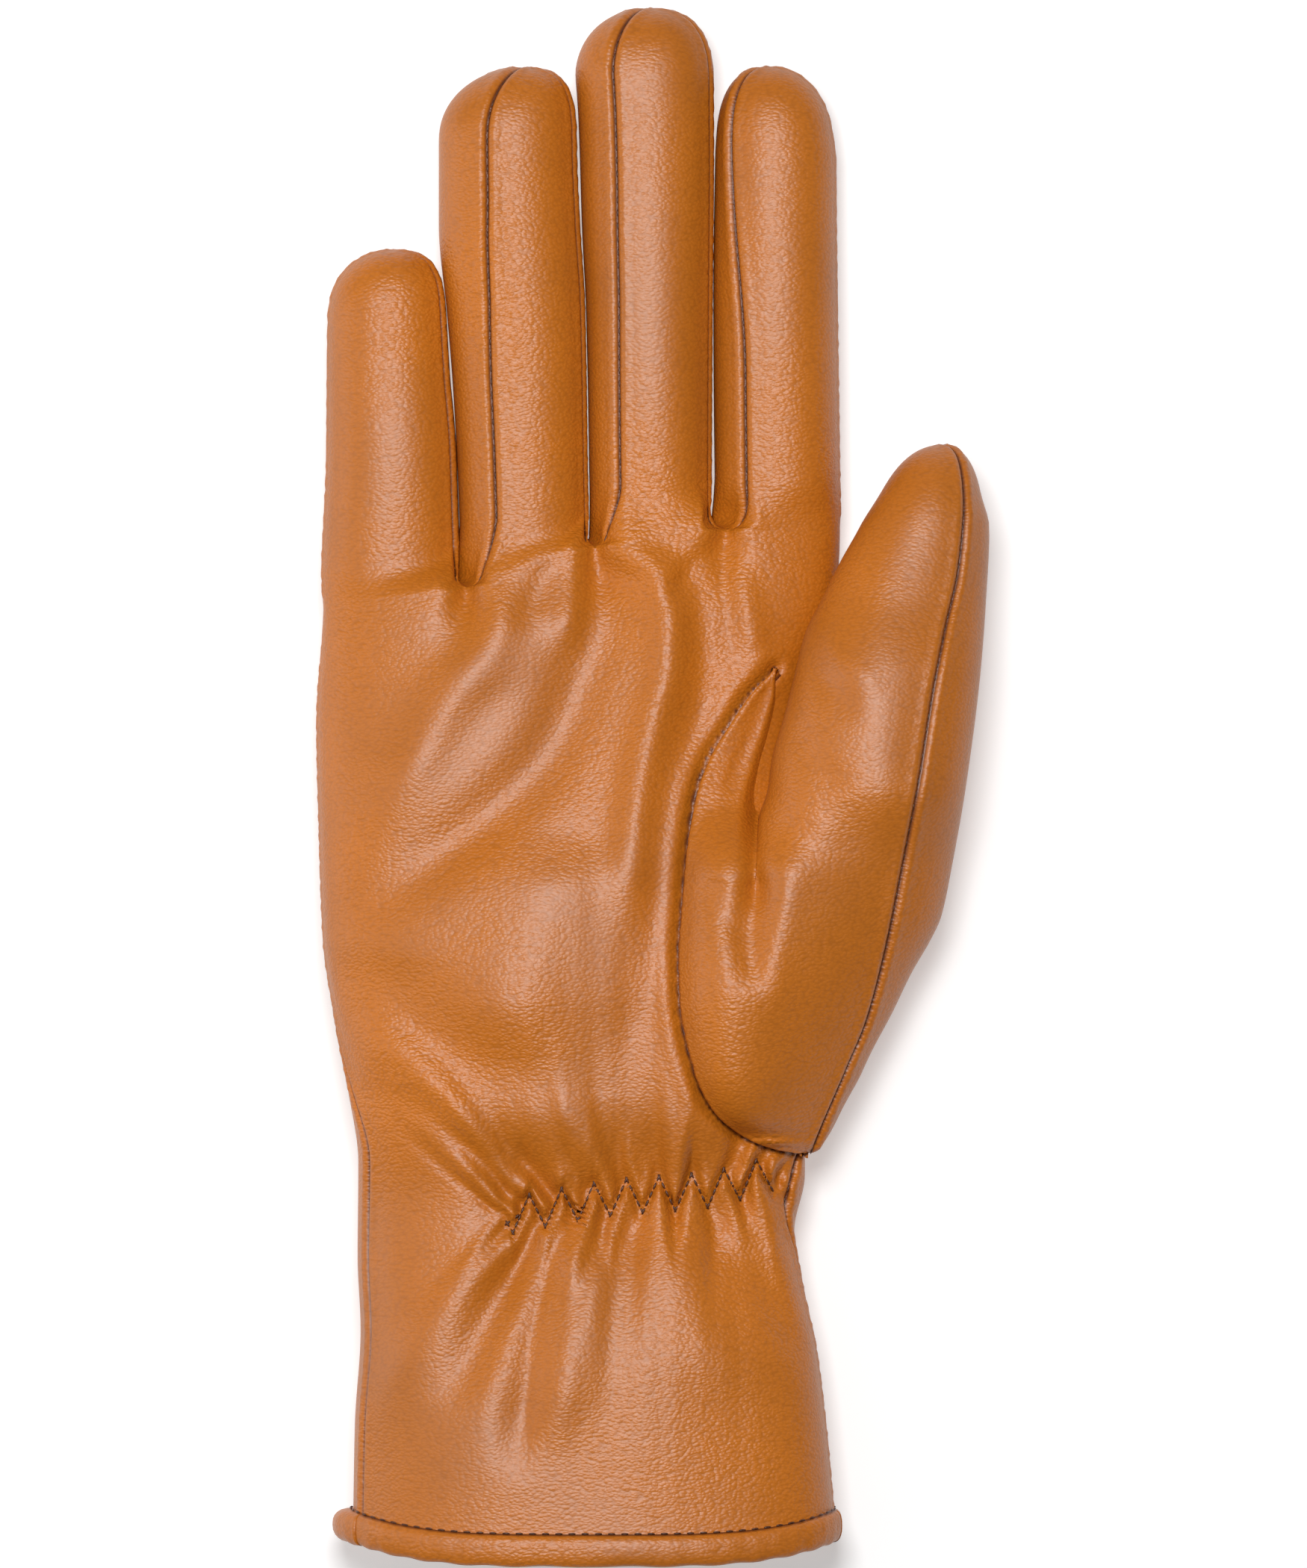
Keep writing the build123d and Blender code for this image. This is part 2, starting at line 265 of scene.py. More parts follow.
def hole_distance(x, y):
    """How far a place on the palm is from the seam round the thumb hole."""
    along = thumb_rows(HOLE_TOP, False)
    x, y = np.broadcast_arrays(x, y)
    return np.hypot(x[..., None] - hole_edge(along), y[..., None] - along).min(-1)


def hole_seam(x, y):
    """The valley in the palm along the seam round the thumb hole."""
    far = hole_distance(x, y)
    return 0.3 * bell((far - 2.4) / 1.2) - 1.2 * bell(far / 0.95)


def back_relief(x, y):
    height = 0.9 * bell((y + 66) / 9) * smooth((x + 46) / 14) * smooth((22 - x) / 12)
    return height + 0.9 * crotch_dips(x, y, BACK_CROTCH_X)


def hand_point(angle, y, relief=True):
    """The hand's surface, angle in degrees from the thumb side over the palm."""
    a = np.radians(angle)
    left, right, top, low = left_edge(y), right_edge(y), palm_height(y), back_height(y)
    above = np.sin(a) >= 0
    exponent = np.where(above, 2 / PALM_ROUND, 2 / BACK_ROUND)
    x = (left + right) / 2 + (right - left) / 2 * power(np.cos(a), exponent)
    middle = low + (top - low) * MIDDLE_SHARE
    reach = np.where(above, top - middle, middle - low)
    z = middle + reach * power(np.sin(a), exponent)
    if relief:
        steep = smooth(np.abs(np.sin(a)) / STEEP)
        z = z + np.where(above, palm_relief(x, y) + hole_seam(x, y), back_relief(x, y)) * steep
    return np.stack(np.broadcast_arrays(x, y, z), -1)


def palm_top(x, y):
    """Height of the palm's surface over a place, without its folds."""
    left, right, top, low = left_edge(y), right_edge(y), palm_height(y), back_height(y)
    share = np.clip(share_across(x, left, right), -0.999, 0.999)
    middle = low + (top - low) * MIDDLE_SHARE
    return middle + (top - middle) * (1 - np.abs(share) ** PALM_ROUND) ** (1 / PALM_ROUND)


def angle_of(x, y, exponent):
    """The angle round the hand of a place on its palm or on its back, in degrees."""
    share = share_across(x, left_edge(y), right_edge(y))
    return float(np.degrees(np.arccos(power(share, exponent / 2))))


# ------------------------------------------------------------------ fingers
ROW = 0.85              # distance from one row of points to the next
ROW_CROWDING = 1.3      # above 1 brings the rows closer together at the finger's root
FINGER_ROUND = 2.25     # roundness across a finger: 2 is an ellipse, more is squarer
TIP_ROUND = 2.3         # the same over its tip


class Finger:
    """A finger's outline, thickness, tip and seams, in millimetres and degrees."""

    def __init__(self, name, left, right, tip, shoulder, thick, seams, ease, apart, twist, blend):
        self.left, self.right = through(*left), through(*right)
        self.tip, self.shoulder, self.thick = tip, shoulder, thick
        self.seams = seams          # angles of the right, left, left back, right back seam
        self.ease = ease            # how far each seam takes to swing out of its slit
        self.apart = apart          # how far its right and left edge stand off from the slit's
                                    # bottom along X: right palm, right back, left palm, left back
        self.twist = twist          # how far the left seam turns on its way up, from and to
        self.blend = blend          # along Y, where the finger would start and end to bend: not used
        self.body = f"{name}_finger"

    def point(self, angle, y, crown):
        """The finger's surface; crown is how far round the tip, in degrees."""
        t = np.radians(crown)
        shrink = np.cos(t) ** (2 / TIP_ROUND)
        over = (self.tip[1] - self.shoulder) * np.sin(t) ** (2 / TIP_ROUND)
        y = np.where(crown > 0, self.shoulder + over, y)
        turned, low, high = self.twist
        off = wrap(angle - self.seams[1])
        a = np.radians(angle + turned * smooth((y - low) / (high - low)) * bell(off / 48))
        at = np.minimum(y, self.shoulder + 2)
        left, right = self.left(at), self.right(at)
        middle = (left + right) / 2
        middle = self.tip[0] + (middle - self.tip[0]) * (1 - smooth(crown / 90))
        x = middle + (right - left) / 2 * shrink * power(np.cos(a), 2 / FINGER_ROUND)
        half = self.thick / 2 * (1 - 0.05 * smooth((y - self.shoulder + 25) / 30))
        z = half + half * shrink * power(np.sin(a), 2 / FINGER_ROUND)
        return np.stack(np.broadcast_arrays(x, y, z), -1)


FINGERS = {
    "little": Finger(
        "little", ((28, -53.5), (35, -53.3), (53, -52.5), (65, -52.4), (74, -52.3), (80, -52.0)),
        ((28, -30.5), (37, -31.0), (47, -31.4), (53, -31.6), (60, -32.1), (65, -32.6),
         (80, -33.5)),
        (-41.5, 86.1), 75.5, 17.6, (24, 180, 180, 328), (7, 9, 9, 7),
        (-1.5, -0.4, 0, 0), (0, 40, 80), (34.0, 46.0)),
    "ring": Finger(
        "ring", ((31, -30.2), (41, -31.1), (53, -31.6), (65, -32.3), (76, -33.2), (90, -34.5),
                 (107, -34.5)),
        ((37, -9.5), (41, -10.2), (77, -10.9), (90, -11.7), (101, -12.2), (110, -12.3)),
        (-20.8, 115.5), 103.5, 19.2, (20, 113, 216, 326), (6, 12, 10, 7),
        (-1.3, -0.3, 1.9, 0.3), (-8, 62, 96), (40.7, 51.5)),
    "middle": Finger(
        "middle", ((38, -9.3), (44, -10.1), (65, -10.5), (77, -10.8), (89, -11.4), (107, -12.0),
                   (118, -12.8)),
        ((40, 10.0), (48, 9.5), (77, 9.65), (101, 9.85), (118, 9.8)),
        (-0.5, 125.0), 113.0, 19.6, (20, 118, 216, 326), (7, 10, 10, 7),
        (-2.7, -0.3, 1.3, 0.3), (-3, 60, 100), (43.4, 54.8)),
    "index": Finger(
        "index", ((40, 11.2), (48, 10.0), (77, 9.75), (101, 10.05), (110, 10.6)),
        ((40, 30.2), (60, 29.9), (90, 29.5), (101, 29.4), (107, 28.4)),
        (18.5, 115.6), 102.0, 18.6, (0, 118, 216, 360), (9, 7, 9, 9),
        (0, 0, 2.7, 0.3), (20, 66, 108), (43.4, 54.8)),
}


def groove(distance, depth=0.7, roll=0.26):
    """A seam's cross-section: a sharp valley with a soft roll beside it."""
    return -depth * np.exp(-(distance / 0.36) ** 1.4) + roll * bell((distance - 1.25) / 0.75)


def lengths_across(grid):
    """Distance across each row of a panel from its first column, in millimetres."""
    steps = np.linalg.norm(np.diff(grid, axis=1), axis=-1)
    return np.concatenate([np.zeros((len(grid), 1)), np.cumsum(steps, axis=1)], axis=1)


def grid_normals(grid, turn):
    """Unit normals of a grid whose columns turn one way or the other round the hand."""
    normal = np.cross(np.gradient(grid, axis=0), np.gradient(grid, axis=1)) * turn
    length = np.linalg.norm(normal, axis=-1, keepdims=True)
    return normal / np.maximum(length, 1e-9)


class Panel:
    """One cut piece of leather: a grid of points, rows along it and columns across."""

    FIELDS = ("grid", "rest", "relief", "seam", "normal", "smooth_normal")

    def __init__(self, grid, turn, seams=(True, True), seam_start=3.5):
        self.grid, self.turn = grid, turn
        self.rest = grid.copy()
        across = lengths_across(grid)
        width = across[:, -1:]
        near = np.full_like(across, 1e3)
        if seams[0]:
            near = np.minimum(near, across)
        if seams[1]:
            near = np.minimum(near, width - across)
        begun = lengths_across(np.swapaxes(grid, 0, 1)).T
        share = smooth(begun / seam_start) if seam_start else np.ones_like(begun)
        pucker = 1 + 0.35 * np.sin(begun * 3.0) * np.sin(begun * 0.9) * bell((near - 1.25) / 0.8)
        self.relief = groove(near) * pucker * smooth(width / 4.5) * share
        # Mask of painted shade: 1 at the bottom of a seam groove, fading within about half a
        # millimetre.
        self.seam = bell(near / 0.42) * share

    def part(self, first, last, left=None, right=None):
        """The same panel between two of its rows and two of its columns."""
        piece = Panel.__new__(Panel)
        piece.turn = self.turn
        for field in self.FIELDS:
            setattr(piece, field, getattr(self, field)[first:last, left:right])
        return piece


def share_normals(panels):
    """Gives each panel its normals, averaged where panels meet at the same point."""
    keys = [np.round(p.grid.reshape(-1, 3), 3) + 0.0 for p in panels]
    own = [grid_normals(p.grid, p.turn).reshape(-1, 3) for p in panels]
    places, which = np.unique(np.concatenate(keys), axis=0, return_inverse=True)
    which = which.reshape(-1)
    total = np.zeros((len(places), 3))
    np.add.at(total, which, np.concatenate(own))
    total /= np.maximum(np.linalg.norm(total, axis=1, keepdims=True), 1e-9)
    shared = total[which]
    start = 0
    for p in panels:
        count = p.grid.shape[0] * p.grid.shape[1]
        p.normal = shared[start:start + count].reshape(p.grid.shape)
        start += count


def sew(panels):
    """Presses every seam into its panels, then works out the normals again."""
    share_normals(panels)
    for p in panels:
        p.smooth_normal = p.normal
        p.grid = p.grid + p.normal * p.relief[..., None]
    share_normals(panels)
    for p in panels:
        turned = (p.normal * p.smooth_normal).sum(-1, keepdims=True) < 0.2
        p.normal = np.where(turned, p.smooth_normal, p.normal)


# ------------------------------------------------------------------ the hand's panels
RIGHT_SEAM_LIFT = through((-90, 0), (-76, 6), (-66, 24), (-58, 14), (-50, 0))
LEFT_SEAM_TURN = through((-120, 18), (-60, 20), (-45, 9), (-33, 0))
HAND_ROWS, HAND_COLUMN_STEP = 236, 0.74
HEM_MIDDLE, HEM_RISE = -119.9, 3.4              # the hem along Y, and its rise to both edges
FINGER_ROW_X, FINGER_ROW_HALF = -11.7, 41.8     # the middle of the fingers' row, half its width


def hem_line(angle):
    """Where along Y the hem is, for a place round the hand."""
    return HEM_MIDDLE + HEM_RISE * np.abs(np.cos(np.radians(angle))) ** 3


def hand_columns():
    """Angles of the palm's and the back's columns, finger by finger from the thumb side."""
    stops = []
    for slits, exponent, turn in ((CROTCH_X, PALM_ROUND, 1), (BACK_CROTCH_X, BACK_ROUND, -1)):
        between = [turn * angle_of(x, y, exponent) for x, y in zip(slits[::-1], CROTCH_Y[::-1])]
        stops.append([0] + between + [turn * 180])
    columns = {}
    widths = {"index": 26.0, "middle": 21.0, "ring": 21.0, "little": 31.0}
    for i, (name, width) in enumerate(widths.items()):
        shares = seam_spacing(width, HAND_COLUMN_STEP)
        palm, back = (stop[i] + (stop[i + 1] - stop[i]) * shares for stop in stops)
        columns[name] = (shares, palm, back)
    return columns


def finger_row(angle, exponent):
    """Where along Y the fingers start, for a place round the hand."""
    x = FINGER_ROW_X + FINGER_ROW_HALF * power(np.cos(np.radians(angle)), 2 / exponent)
    return crotch_line(x)


def hand_panel(angles, exponent, turn):
    """The palm or the back, from the hem to the row of points where the fingers start."""
    share = np.linspace(0, 1, HAND_ROWS)[:, None]
    turned = (180 - turn * LEFT_SEAM_TURN(HEM_Y)) * np.abs(angles) / 180
    start, end = hem_line(turned)[None], finger_row(angles, exponent)[None]
    y = start + (end - start) * share
    lift, drop = RIGHT_SEAM_LIFT(y), LEFT_SEAM_TURN(y)
    whole = (180 - drop - lift) if turn > 0 else (180 + drop + lift)
    angle = lift + turn * whole * np.abs(angles)[None] / 180
    wrapped = np.where(angle < -180, angle + 360, angle)
    grid = hand_point(wrapped, y)
    panel = Panel(grid, turn, seam_start=0)
    plain = hand_point(wrapped, y, relief=False)
    inward = grid_normals(plain, turn) * (0.9 + 3.2 * bell((y - zig_middle(-5)) / 17))[..., None]
    panel.plain = plain - inward * smooth((end - y) / 10)[..., None]
    dips = crotch_dips(plain[..., 0], y, CROTCH_X if turn > 0 else BACK_CROTCH_X)
    panel.plain[..., 2] -= turn * dips * smooth(np.abs(np.sin(np.radians(wrapped))) / STEEP)
    fade = smooth((end - y) / 12)
    panel.relief = panel.relief * fade
    panel.seam = panel.seam * fade
    if turn > 0:
        # Painted shade: the valley along the thumb hole's seam, where the mound meets the palm, is
        # darkened; the stitches are a separate mesh.
        thread = bell(hole_distance(grid[..., 0], y) / 0.62)
        panel.seam = np.maximum(panel.seam, thread)
    return panel


WEB_ROWS = 7


def finger_panels(f, palm_base, back_base, shares, palm_slope):
    """The panels of one finger, from the row of points where the hand's panels end."""
    right_front, left_front, left_back, right_back = f.seams
    rows = int((f.shoulder - palm_base[:, 1].min()) / ROW)
    straight = np.linspace(0, 1, rows)[:, None] ** ROW_CROWDING
    crowns = np.linspace(0, 90, 22)[1:, None]
    made = {}

    def make(piece, base, angles, ease, turn, apart, slope=0):
        y0 = base[None, :, 1]
        y = y0 + (f.shoulder - y0) * straight
        body = f.point(angles[None, :], y, np.zeros_like(y))
        weight = smooth((y - y0) / ease[None, :])[..., None]
        held = base[None] + np.zeros_like(body)
        held[..., 2] += slope * (y - y0)
        body = held * (1 - weight) + body * weight
        # The slit starts as a round U, not as a cut.
        corner = np.clip((y - y0) / (1.2 * np.abs(apart) + 0.1)[None, :], 0, 1)
        body[..., 0] += apart[None, :] * np.sqrt(1 - (1 - corner) ** 2) * (1 - weight[..., 0])
        body[..., 1] = y
        crown = np.broadcast_to(crowns, (len(crowns), len(angles)))
        round_tip = np.broadcast_to(angles[None, :], crown.shape)
        tip = f.point(round_tip, np.zeros_like(crown), crown)
        made[piece] = Panel(np.concatenate([body, tip]), turn)

    def between(first, last, t):
        return first + (last - first) * t

    ease = f.ease
    near_right, near_left = bell(shares / 0.16), bell((1 - shares) / 0.16)
    make("palm_side", palm_base, between(right_front, left_front, shares),
         between(ease[0], ease[1], shares), 1, f.apart[0] * near_right + f.apart[2] * near_left,
         palm_slope * smooth(shares / 0.2) * smooth((1 - shares) / 0.2))
    make("back", back_base, between(right_back - 360, left_back - 360, shares),
         between(ease[3], ease[2], shares), -1, f.apart[1] * near_right + f.apart[3] * near_left)
    for side, first, last, end, e0, e1, turn in (
            ("left_strip", left_front, left_back, -1, ease[1], ease[2], 1),
            ("right_strip", right_front, right_back - 360, 0, ease[0], ease[3], -1)):
        if abs(last - first) < 1:
            # At the hand's own edges both seams are one, with no strip between them.
            continue
        t = seam_spacing(0.15 * abs(last - first), 0.9)
        top, bottom = palm_base[end], back_base[end]
        base = top[None] * (1 - t[:, None]) + bottom[None] * t[:, None]
        base[:, 0] = between(top[0], bottom[0], smooth(t / 0.45))
        base[:, 1] += 1.3 * np.sin(pi * t)
        above, below = f.apart[2:] if side == "left_strip" else f.apart[:2]
        make(side, base, between(first, last, t), between(e0, e1, t), turn,
             between(above, below, smooth(t / 0.5)))
    return made


# ------------------------------------------------------------------ the thumb
THUMB_TIP, THUMB_ROOT = (46.6, 54.5), (25.0, -59.3)
THUMB_SHOULDER, THUMB_HEEL = 41.0, -46.0
THUMB_STEP = 0.8        # distance from one row or column of points to the next
THUMB_ROUND = 2.2       # roundness of its tip and its underside: 2 is an ellipse
TUBE_ROUND = 2.15       # the same over its free part
MOUND_ROUND = 2.3       # and over the swelling at its root
HOLE_TOP = 18.5         # where along Y the thumb hole ends
thumb_left = through((-15, 16.4), (-6, 16.9), (-1, 18.4), (4.5, 19.2), (10, 20.8), (16.5, 22.5),
                     (24, 24.4), (30, 27.3), (36, 30.3), (41, 33.1), (47, 35.9), (54, 37.2))
thumb_right = through(
    (-60, 29.8), (-53, 31.0), (-46, 33.8), (-43, 35.2), (-37, 38.4), (-30.4, 41.6), (-25, 44.7),
    (-21.5, 46.3), (-13, 48.1), (0, 50.3), (17, 52.5), (29, 53.5), (41, 54.1), (47, 53.2),
    (54, 53.4))
hole_left = through(
    (-60, 8.0), (-50, 7.4), (-46, 6.6), (-42, 5.5), (-35, 4.3), (-28, 4.1), (-19, 4.7),
    (-10, 5.5), (-2, 6.7), (4, 8.8), (9.3, 12.0), (14, 15.2), (18.6, 19.6))
divide = through((-60, 24.0), (-46, 20.0), (-30, 17.0), (-15, 16.4), (-6, 16.9), (-1, 18.4))
slit_edge = through((-15, 16.4), (-2.3, 17.2), (2, 18.2), (8.5, 19.9), (14, 20.7), (18.6, 19.7))
outer_seam = through(
    (-60, 27.2), (-55, 28.2), (-50, 29.7), (-46, 31.2), (-38, 34.5), (-27, 37.4), (-15, 39.8),
    (0, 42.6), (15, 45.0), (25, 47.0), (34, 49.1), (42, 50.0), (50, 50.6), (54, 51.3))
thumb_middle = through(
    (-60, 19), (-30, 18.5), (-12, 20), (0, 23.2), (17, 22.6), (30, 19.5), (54, 16.5))
thumb_rise = through((-60, 9), (-30, 13), (-12, 13), (0, 12.2), (17, 11.4), (30, 10.6), (54, 9.2))
thumb_drop = through((-60, 10), (-30, 13), (0, 15), (17, 14), (30, 11.5), (54, 9.2))
CREASE_END = -15.0


def thumb_close(y):
    """How much of the thumb's width is left at a place along it: it closes at both ends."""
    over = np.clip((y - THUMB_SHOULDER) / (THUMB_TIP[1] - THUMB_SHOULDER), 0, 1)
    under = np.clip((THUMB_HEEL - y) / (THUMB_HEEL - THUMB_ROOT[1]), 0, 1)
    return (1 - over ** THUMB_ROUND) ** (1 / THUMB_ROUND) * np.sqrt(1 - under ** 2)


def closing(edge, y):
    """An edge of the thumb, drawn in to the tip or to the root of its hole."""
    pole = np.where(y > 0, THUMB_TIP[0], THUMB_ROOT[0])
    return pole + (edge(y) - pole) * thumb_close(y)


def hole_edge(y):
    """The seam round the thumb hole, at its left."""
    return np.where(y < THUMB_HEEL + 10, closing(hole_left, y), hole_left(y))


def mound_top(x, y):
    """The swelling at the thumb's root over a place, with the crease below the slit."""
    close = thumb_close(y)
    left, right = closing(hole_left, y), closing(thumb_right, y)
    share = share_across(x, left, right)
    ground = palm_top(np.minimum(left, 21), y) + palm_relief(left, y)
    base = ground + (thumb_middle(y) - ground) * smooth((share + 1) / 2)
    swell = through((-60, 6), (-48, 8), (-30, 11.5), (-12, 12), (5, 11))(y)
    blunt = 0.6 - 0.1 * smooth((share + 1) / 2)
    mound = base + swell * close * (1 - np.abs(share) ** MOUND_ROUND) ** blunt
    off = x - divide(y)
    wide = 2.2 * bell(off / 4.0) * smooth((y + 34) / 16)
    sharp = 1.6 * bell(off / 1.5) * smooth((y + 22) / 8)
    return mound - (wide + sharp)


def thumb_top(x, y):
    """The thumb's palm side over a place: a free tube above, the mound below."""
    close = thumb_close(y)
    across = share_across(x, closing(thumb_left, y), closing(thumb_right, y))
    arch = (1 - np.abs(across) ** TUBE_ROUND) ** (1 / TUBE_ROUND)
    tube = thumb_middle(y) + thumb_rise(y) * close * arch
    free = smooth((y - CREASE_END) / 14)
    top = mound_top(x, y) * (1 - free) + tube * free
    for start, end, width, depth in THUMB_FOLDS:
        top = top + fold(x, y, start, end, width, depth) * close
    return top


THUMB_FOLDS = (
    ((17, -16), (15.5, -30), 2.6, -1.1), ((21, -17), (20, -34), 2.6, 0.5),
    ((25, 21), (31, 12), 2.0, -0.5), ((28, 24), (34, 16), 2.2, 0.45),
    ((23, 8), (29, 0), 2.4, -0.5), ((21, 0), (28, -8), 2.6, 0.4),
    ((9, -12), (13, -24), 2.6, -0.5), ((36, 30), (42, -18), 5.5, 0.5),
)


def tongue_top(x, y):
    """The small pointed tongue beside the slit at the thumb's root."""
    left, right = hole_left(y), slit_edge(y)
    share = np.clip((x - left) / np.maximum(right - left, 1e-6), 0, 1)
    ground = palm_top(np.minimum(x, 22.5), y) + palm_relief(x, y)
    puff = (1.4 + 1.6 * smooth((6 - y) / 16)) * np.sqrt(np.clip(share * 1.6, 0, 1))
    dimple = 0.9 * bell((x - left - 0.55 * (right - left)) / 1.8) * smooth((y + 6) / 8)
    tuck = 3.0 * smooth((share - 0.72) / 0.28) * smooth((y - CREASE_END + 4) / 10)
    return ground + puff - tuck - dimple * 0.8


def thumb_rows(end, pole):
    """Places along the thumb from its root, crowded there and at an end that is a point."""
    low = THUMB_ROOT[1]
    t = np.linspace(0, 1, int((end - low) / THUMB_STEP))
    reach, eased = 0.14, 0.64
    along = np.where(t < reach, reach * (1 - np.cos(t / reach * pi / 2)) * eased,
                     eased * reach + (t - reach) * (1 - eased * reach) / (1 - reach))
    if pole:
        start = 0.88
        over = np.clip((t - start) / (1 - start), 0, 1)
        along = np.where(t > start, start + (1 - start) * np.sin(over * pi / 2), along)
    return low + (end - low) * along


def thumb_panel(x, y, z, turn, seams):
    return Panel(np.stack([x, np.broadcast_to(y, x.shape), z], -1), turn, seams, 0)


def thumb_panels():
    """The thumb's palm side, its back and its small tongue."""
    y = thumb_rows(THUMB_TIP[1], True)[:, None]
    left = np.where(y > CREASE_END, closing(thumb_left, y), closing(divide, y))
    seam, right = closing(outer_seam, y), closing(thumb_right, y)
    t = seam_spacing(24.0, THUMB_STEP, end=False)[None]
    crowd = 1 - (1 - t) ** 1.7
    x = seam + (left - seam) * crowd
    front = thumb_panel(x, y, thumb_top(x, y), 1, (True, False))

    # The back starts at the outer seam, turns over the edge and comes round underneath.
    top = seam_spacing(9.0, THUMB_STEP, end=False)[None]
    x_over = seam + (right - seam) * np.sin(top * pi / 2)
    z_over = thumb_top(x_over, y)
    angle = np.linspace(0, pi, 44)[1:][None]
    # Below the slit its inner edge slips into the hand, bit by bit.
    tucked = smooth((CREASE_END - y) / 16)
    buried = closing(through((-60, 16), (-15, 14)), y)
    inner = closing(thumb_left, y) * (1 - tucked) + buried * tucked
    middle, half = (inner + right) / 2, (right - inner) / 2
    x_under = middle + half * power(np.cos(angle), 2 / THUMB_ROUND)
    edge_z = thumb_top(right, y)
    joined = front.grid[:, -1:, 2] - 1.5 * smooth((CREASE_END - y) / 2)
    inner_z = joined * (1 - tucked) + thumb_middle(y) * tucked
    level = edge_z + (inner_z - edge_z) * smooth(angle / pi)
    z_under = level - thumb_drop(y) * thumb_close(y) * np.sin(angle) ** (2 / THUMB_ROUND)
    x = np.concatenate([x_over, x_under], 1)
    z = np.concatenate([z_over, z_under], 1)
    back = thumb_panel(x, y, np.maximum(z, 1.5), -1, (True, False))

    # The tongue and the swelling beside the crease, down to the root of the hole.
    y = thumb_rows(HOLE_TOP, False)[:, None]
    left = hole_edge(y)
    right = np.where(y > CREASE_END, slit_edge(y), closing(divide, y))
    t = seam_spacing(12.0, 0.75)[::-1][None]
    x = left + (right - left) * t
    free = smooth((y - CREASE_END) / 12)
    root = np.where(y > CREASE_END, mound_top(x, y), thumb_top(x, y))
    z = root * (1 - free) + tongue_top(x, y) * free + 0.35 * bell((x - left) / 0.8)
    return front, back, thumb_panel(x, y, z, 1, (False, True))


# ------------------------------------------------------------------ meshes
def put(name, data):
    """Puts a mesh, a curve, a light or a camera into the scene as an object."""
    item = bpy.data.objects.new(name, data)
    bpy.context.scene.collection.objects.link(item)
    return item


def store(mesh, name, values):
    """Stores one number or one vector for each point of a mesh."""
    form, key = ("FLOAT_VECTOR", "vector") if values.ndim > 1 else ("FLOAT", "value")
    attribute = mesh.attributes.new(name, form, "POINT")
    attribute.data.foreach_set(key, values.astype(np.float32).reshape(-1))


def merged(points, faces, groups):
    """Drops doubled points, and faces that collapse, as at the tips."""
    _, first, which = np.unique(
        np.round(points, 4) + 0.0, axis=0, return_index=True, return_inverse=True)
    which = which.reshape(-1)
    faces = which[faces]
    kept, kinds = [], []
    for face, kind in zip(faces.tolist(), groups.tolist()):
        ring = [v for i, v in enumerate(face) if v != face[i - 1]]
        if len(ring) >= 3 and len(set(ring)) == len(ring):
            kept.append(ring)
            kinds.append(kind)
    return points[first], first, kept, kinds


def grid_faces(rows, columns, offset, turn):
    index = np.arange(rows * columns).reshape(rows, columns) + offset
    a, b, c, d = index[:-1, :-1], index[:-1, 1:], index[1:, 1:], index[1:, :-1]
    order = (a, d, c, b) if turn > 0 else (a, b, c, d)
    return np.stack(order, -1).reshape(-1, 4)


def rim_faces(rows, columns, outer, inner, turn):
    """The edge of a panel, where its outside meets its inside."""
    index = np.arange(rows * columns).reshape(rows, columns)
    loop = np.concatenate([index[0], index[1:, -1], index[-1, -2::-1], index[-2:0:-1, 0]])
    after = np.roll(loop, -1)
    faces = np.stack([outer + loop, outer + after, inner + after, inner + loop], -1)
    return faces if turn > 0 else faces[:, ::-1]


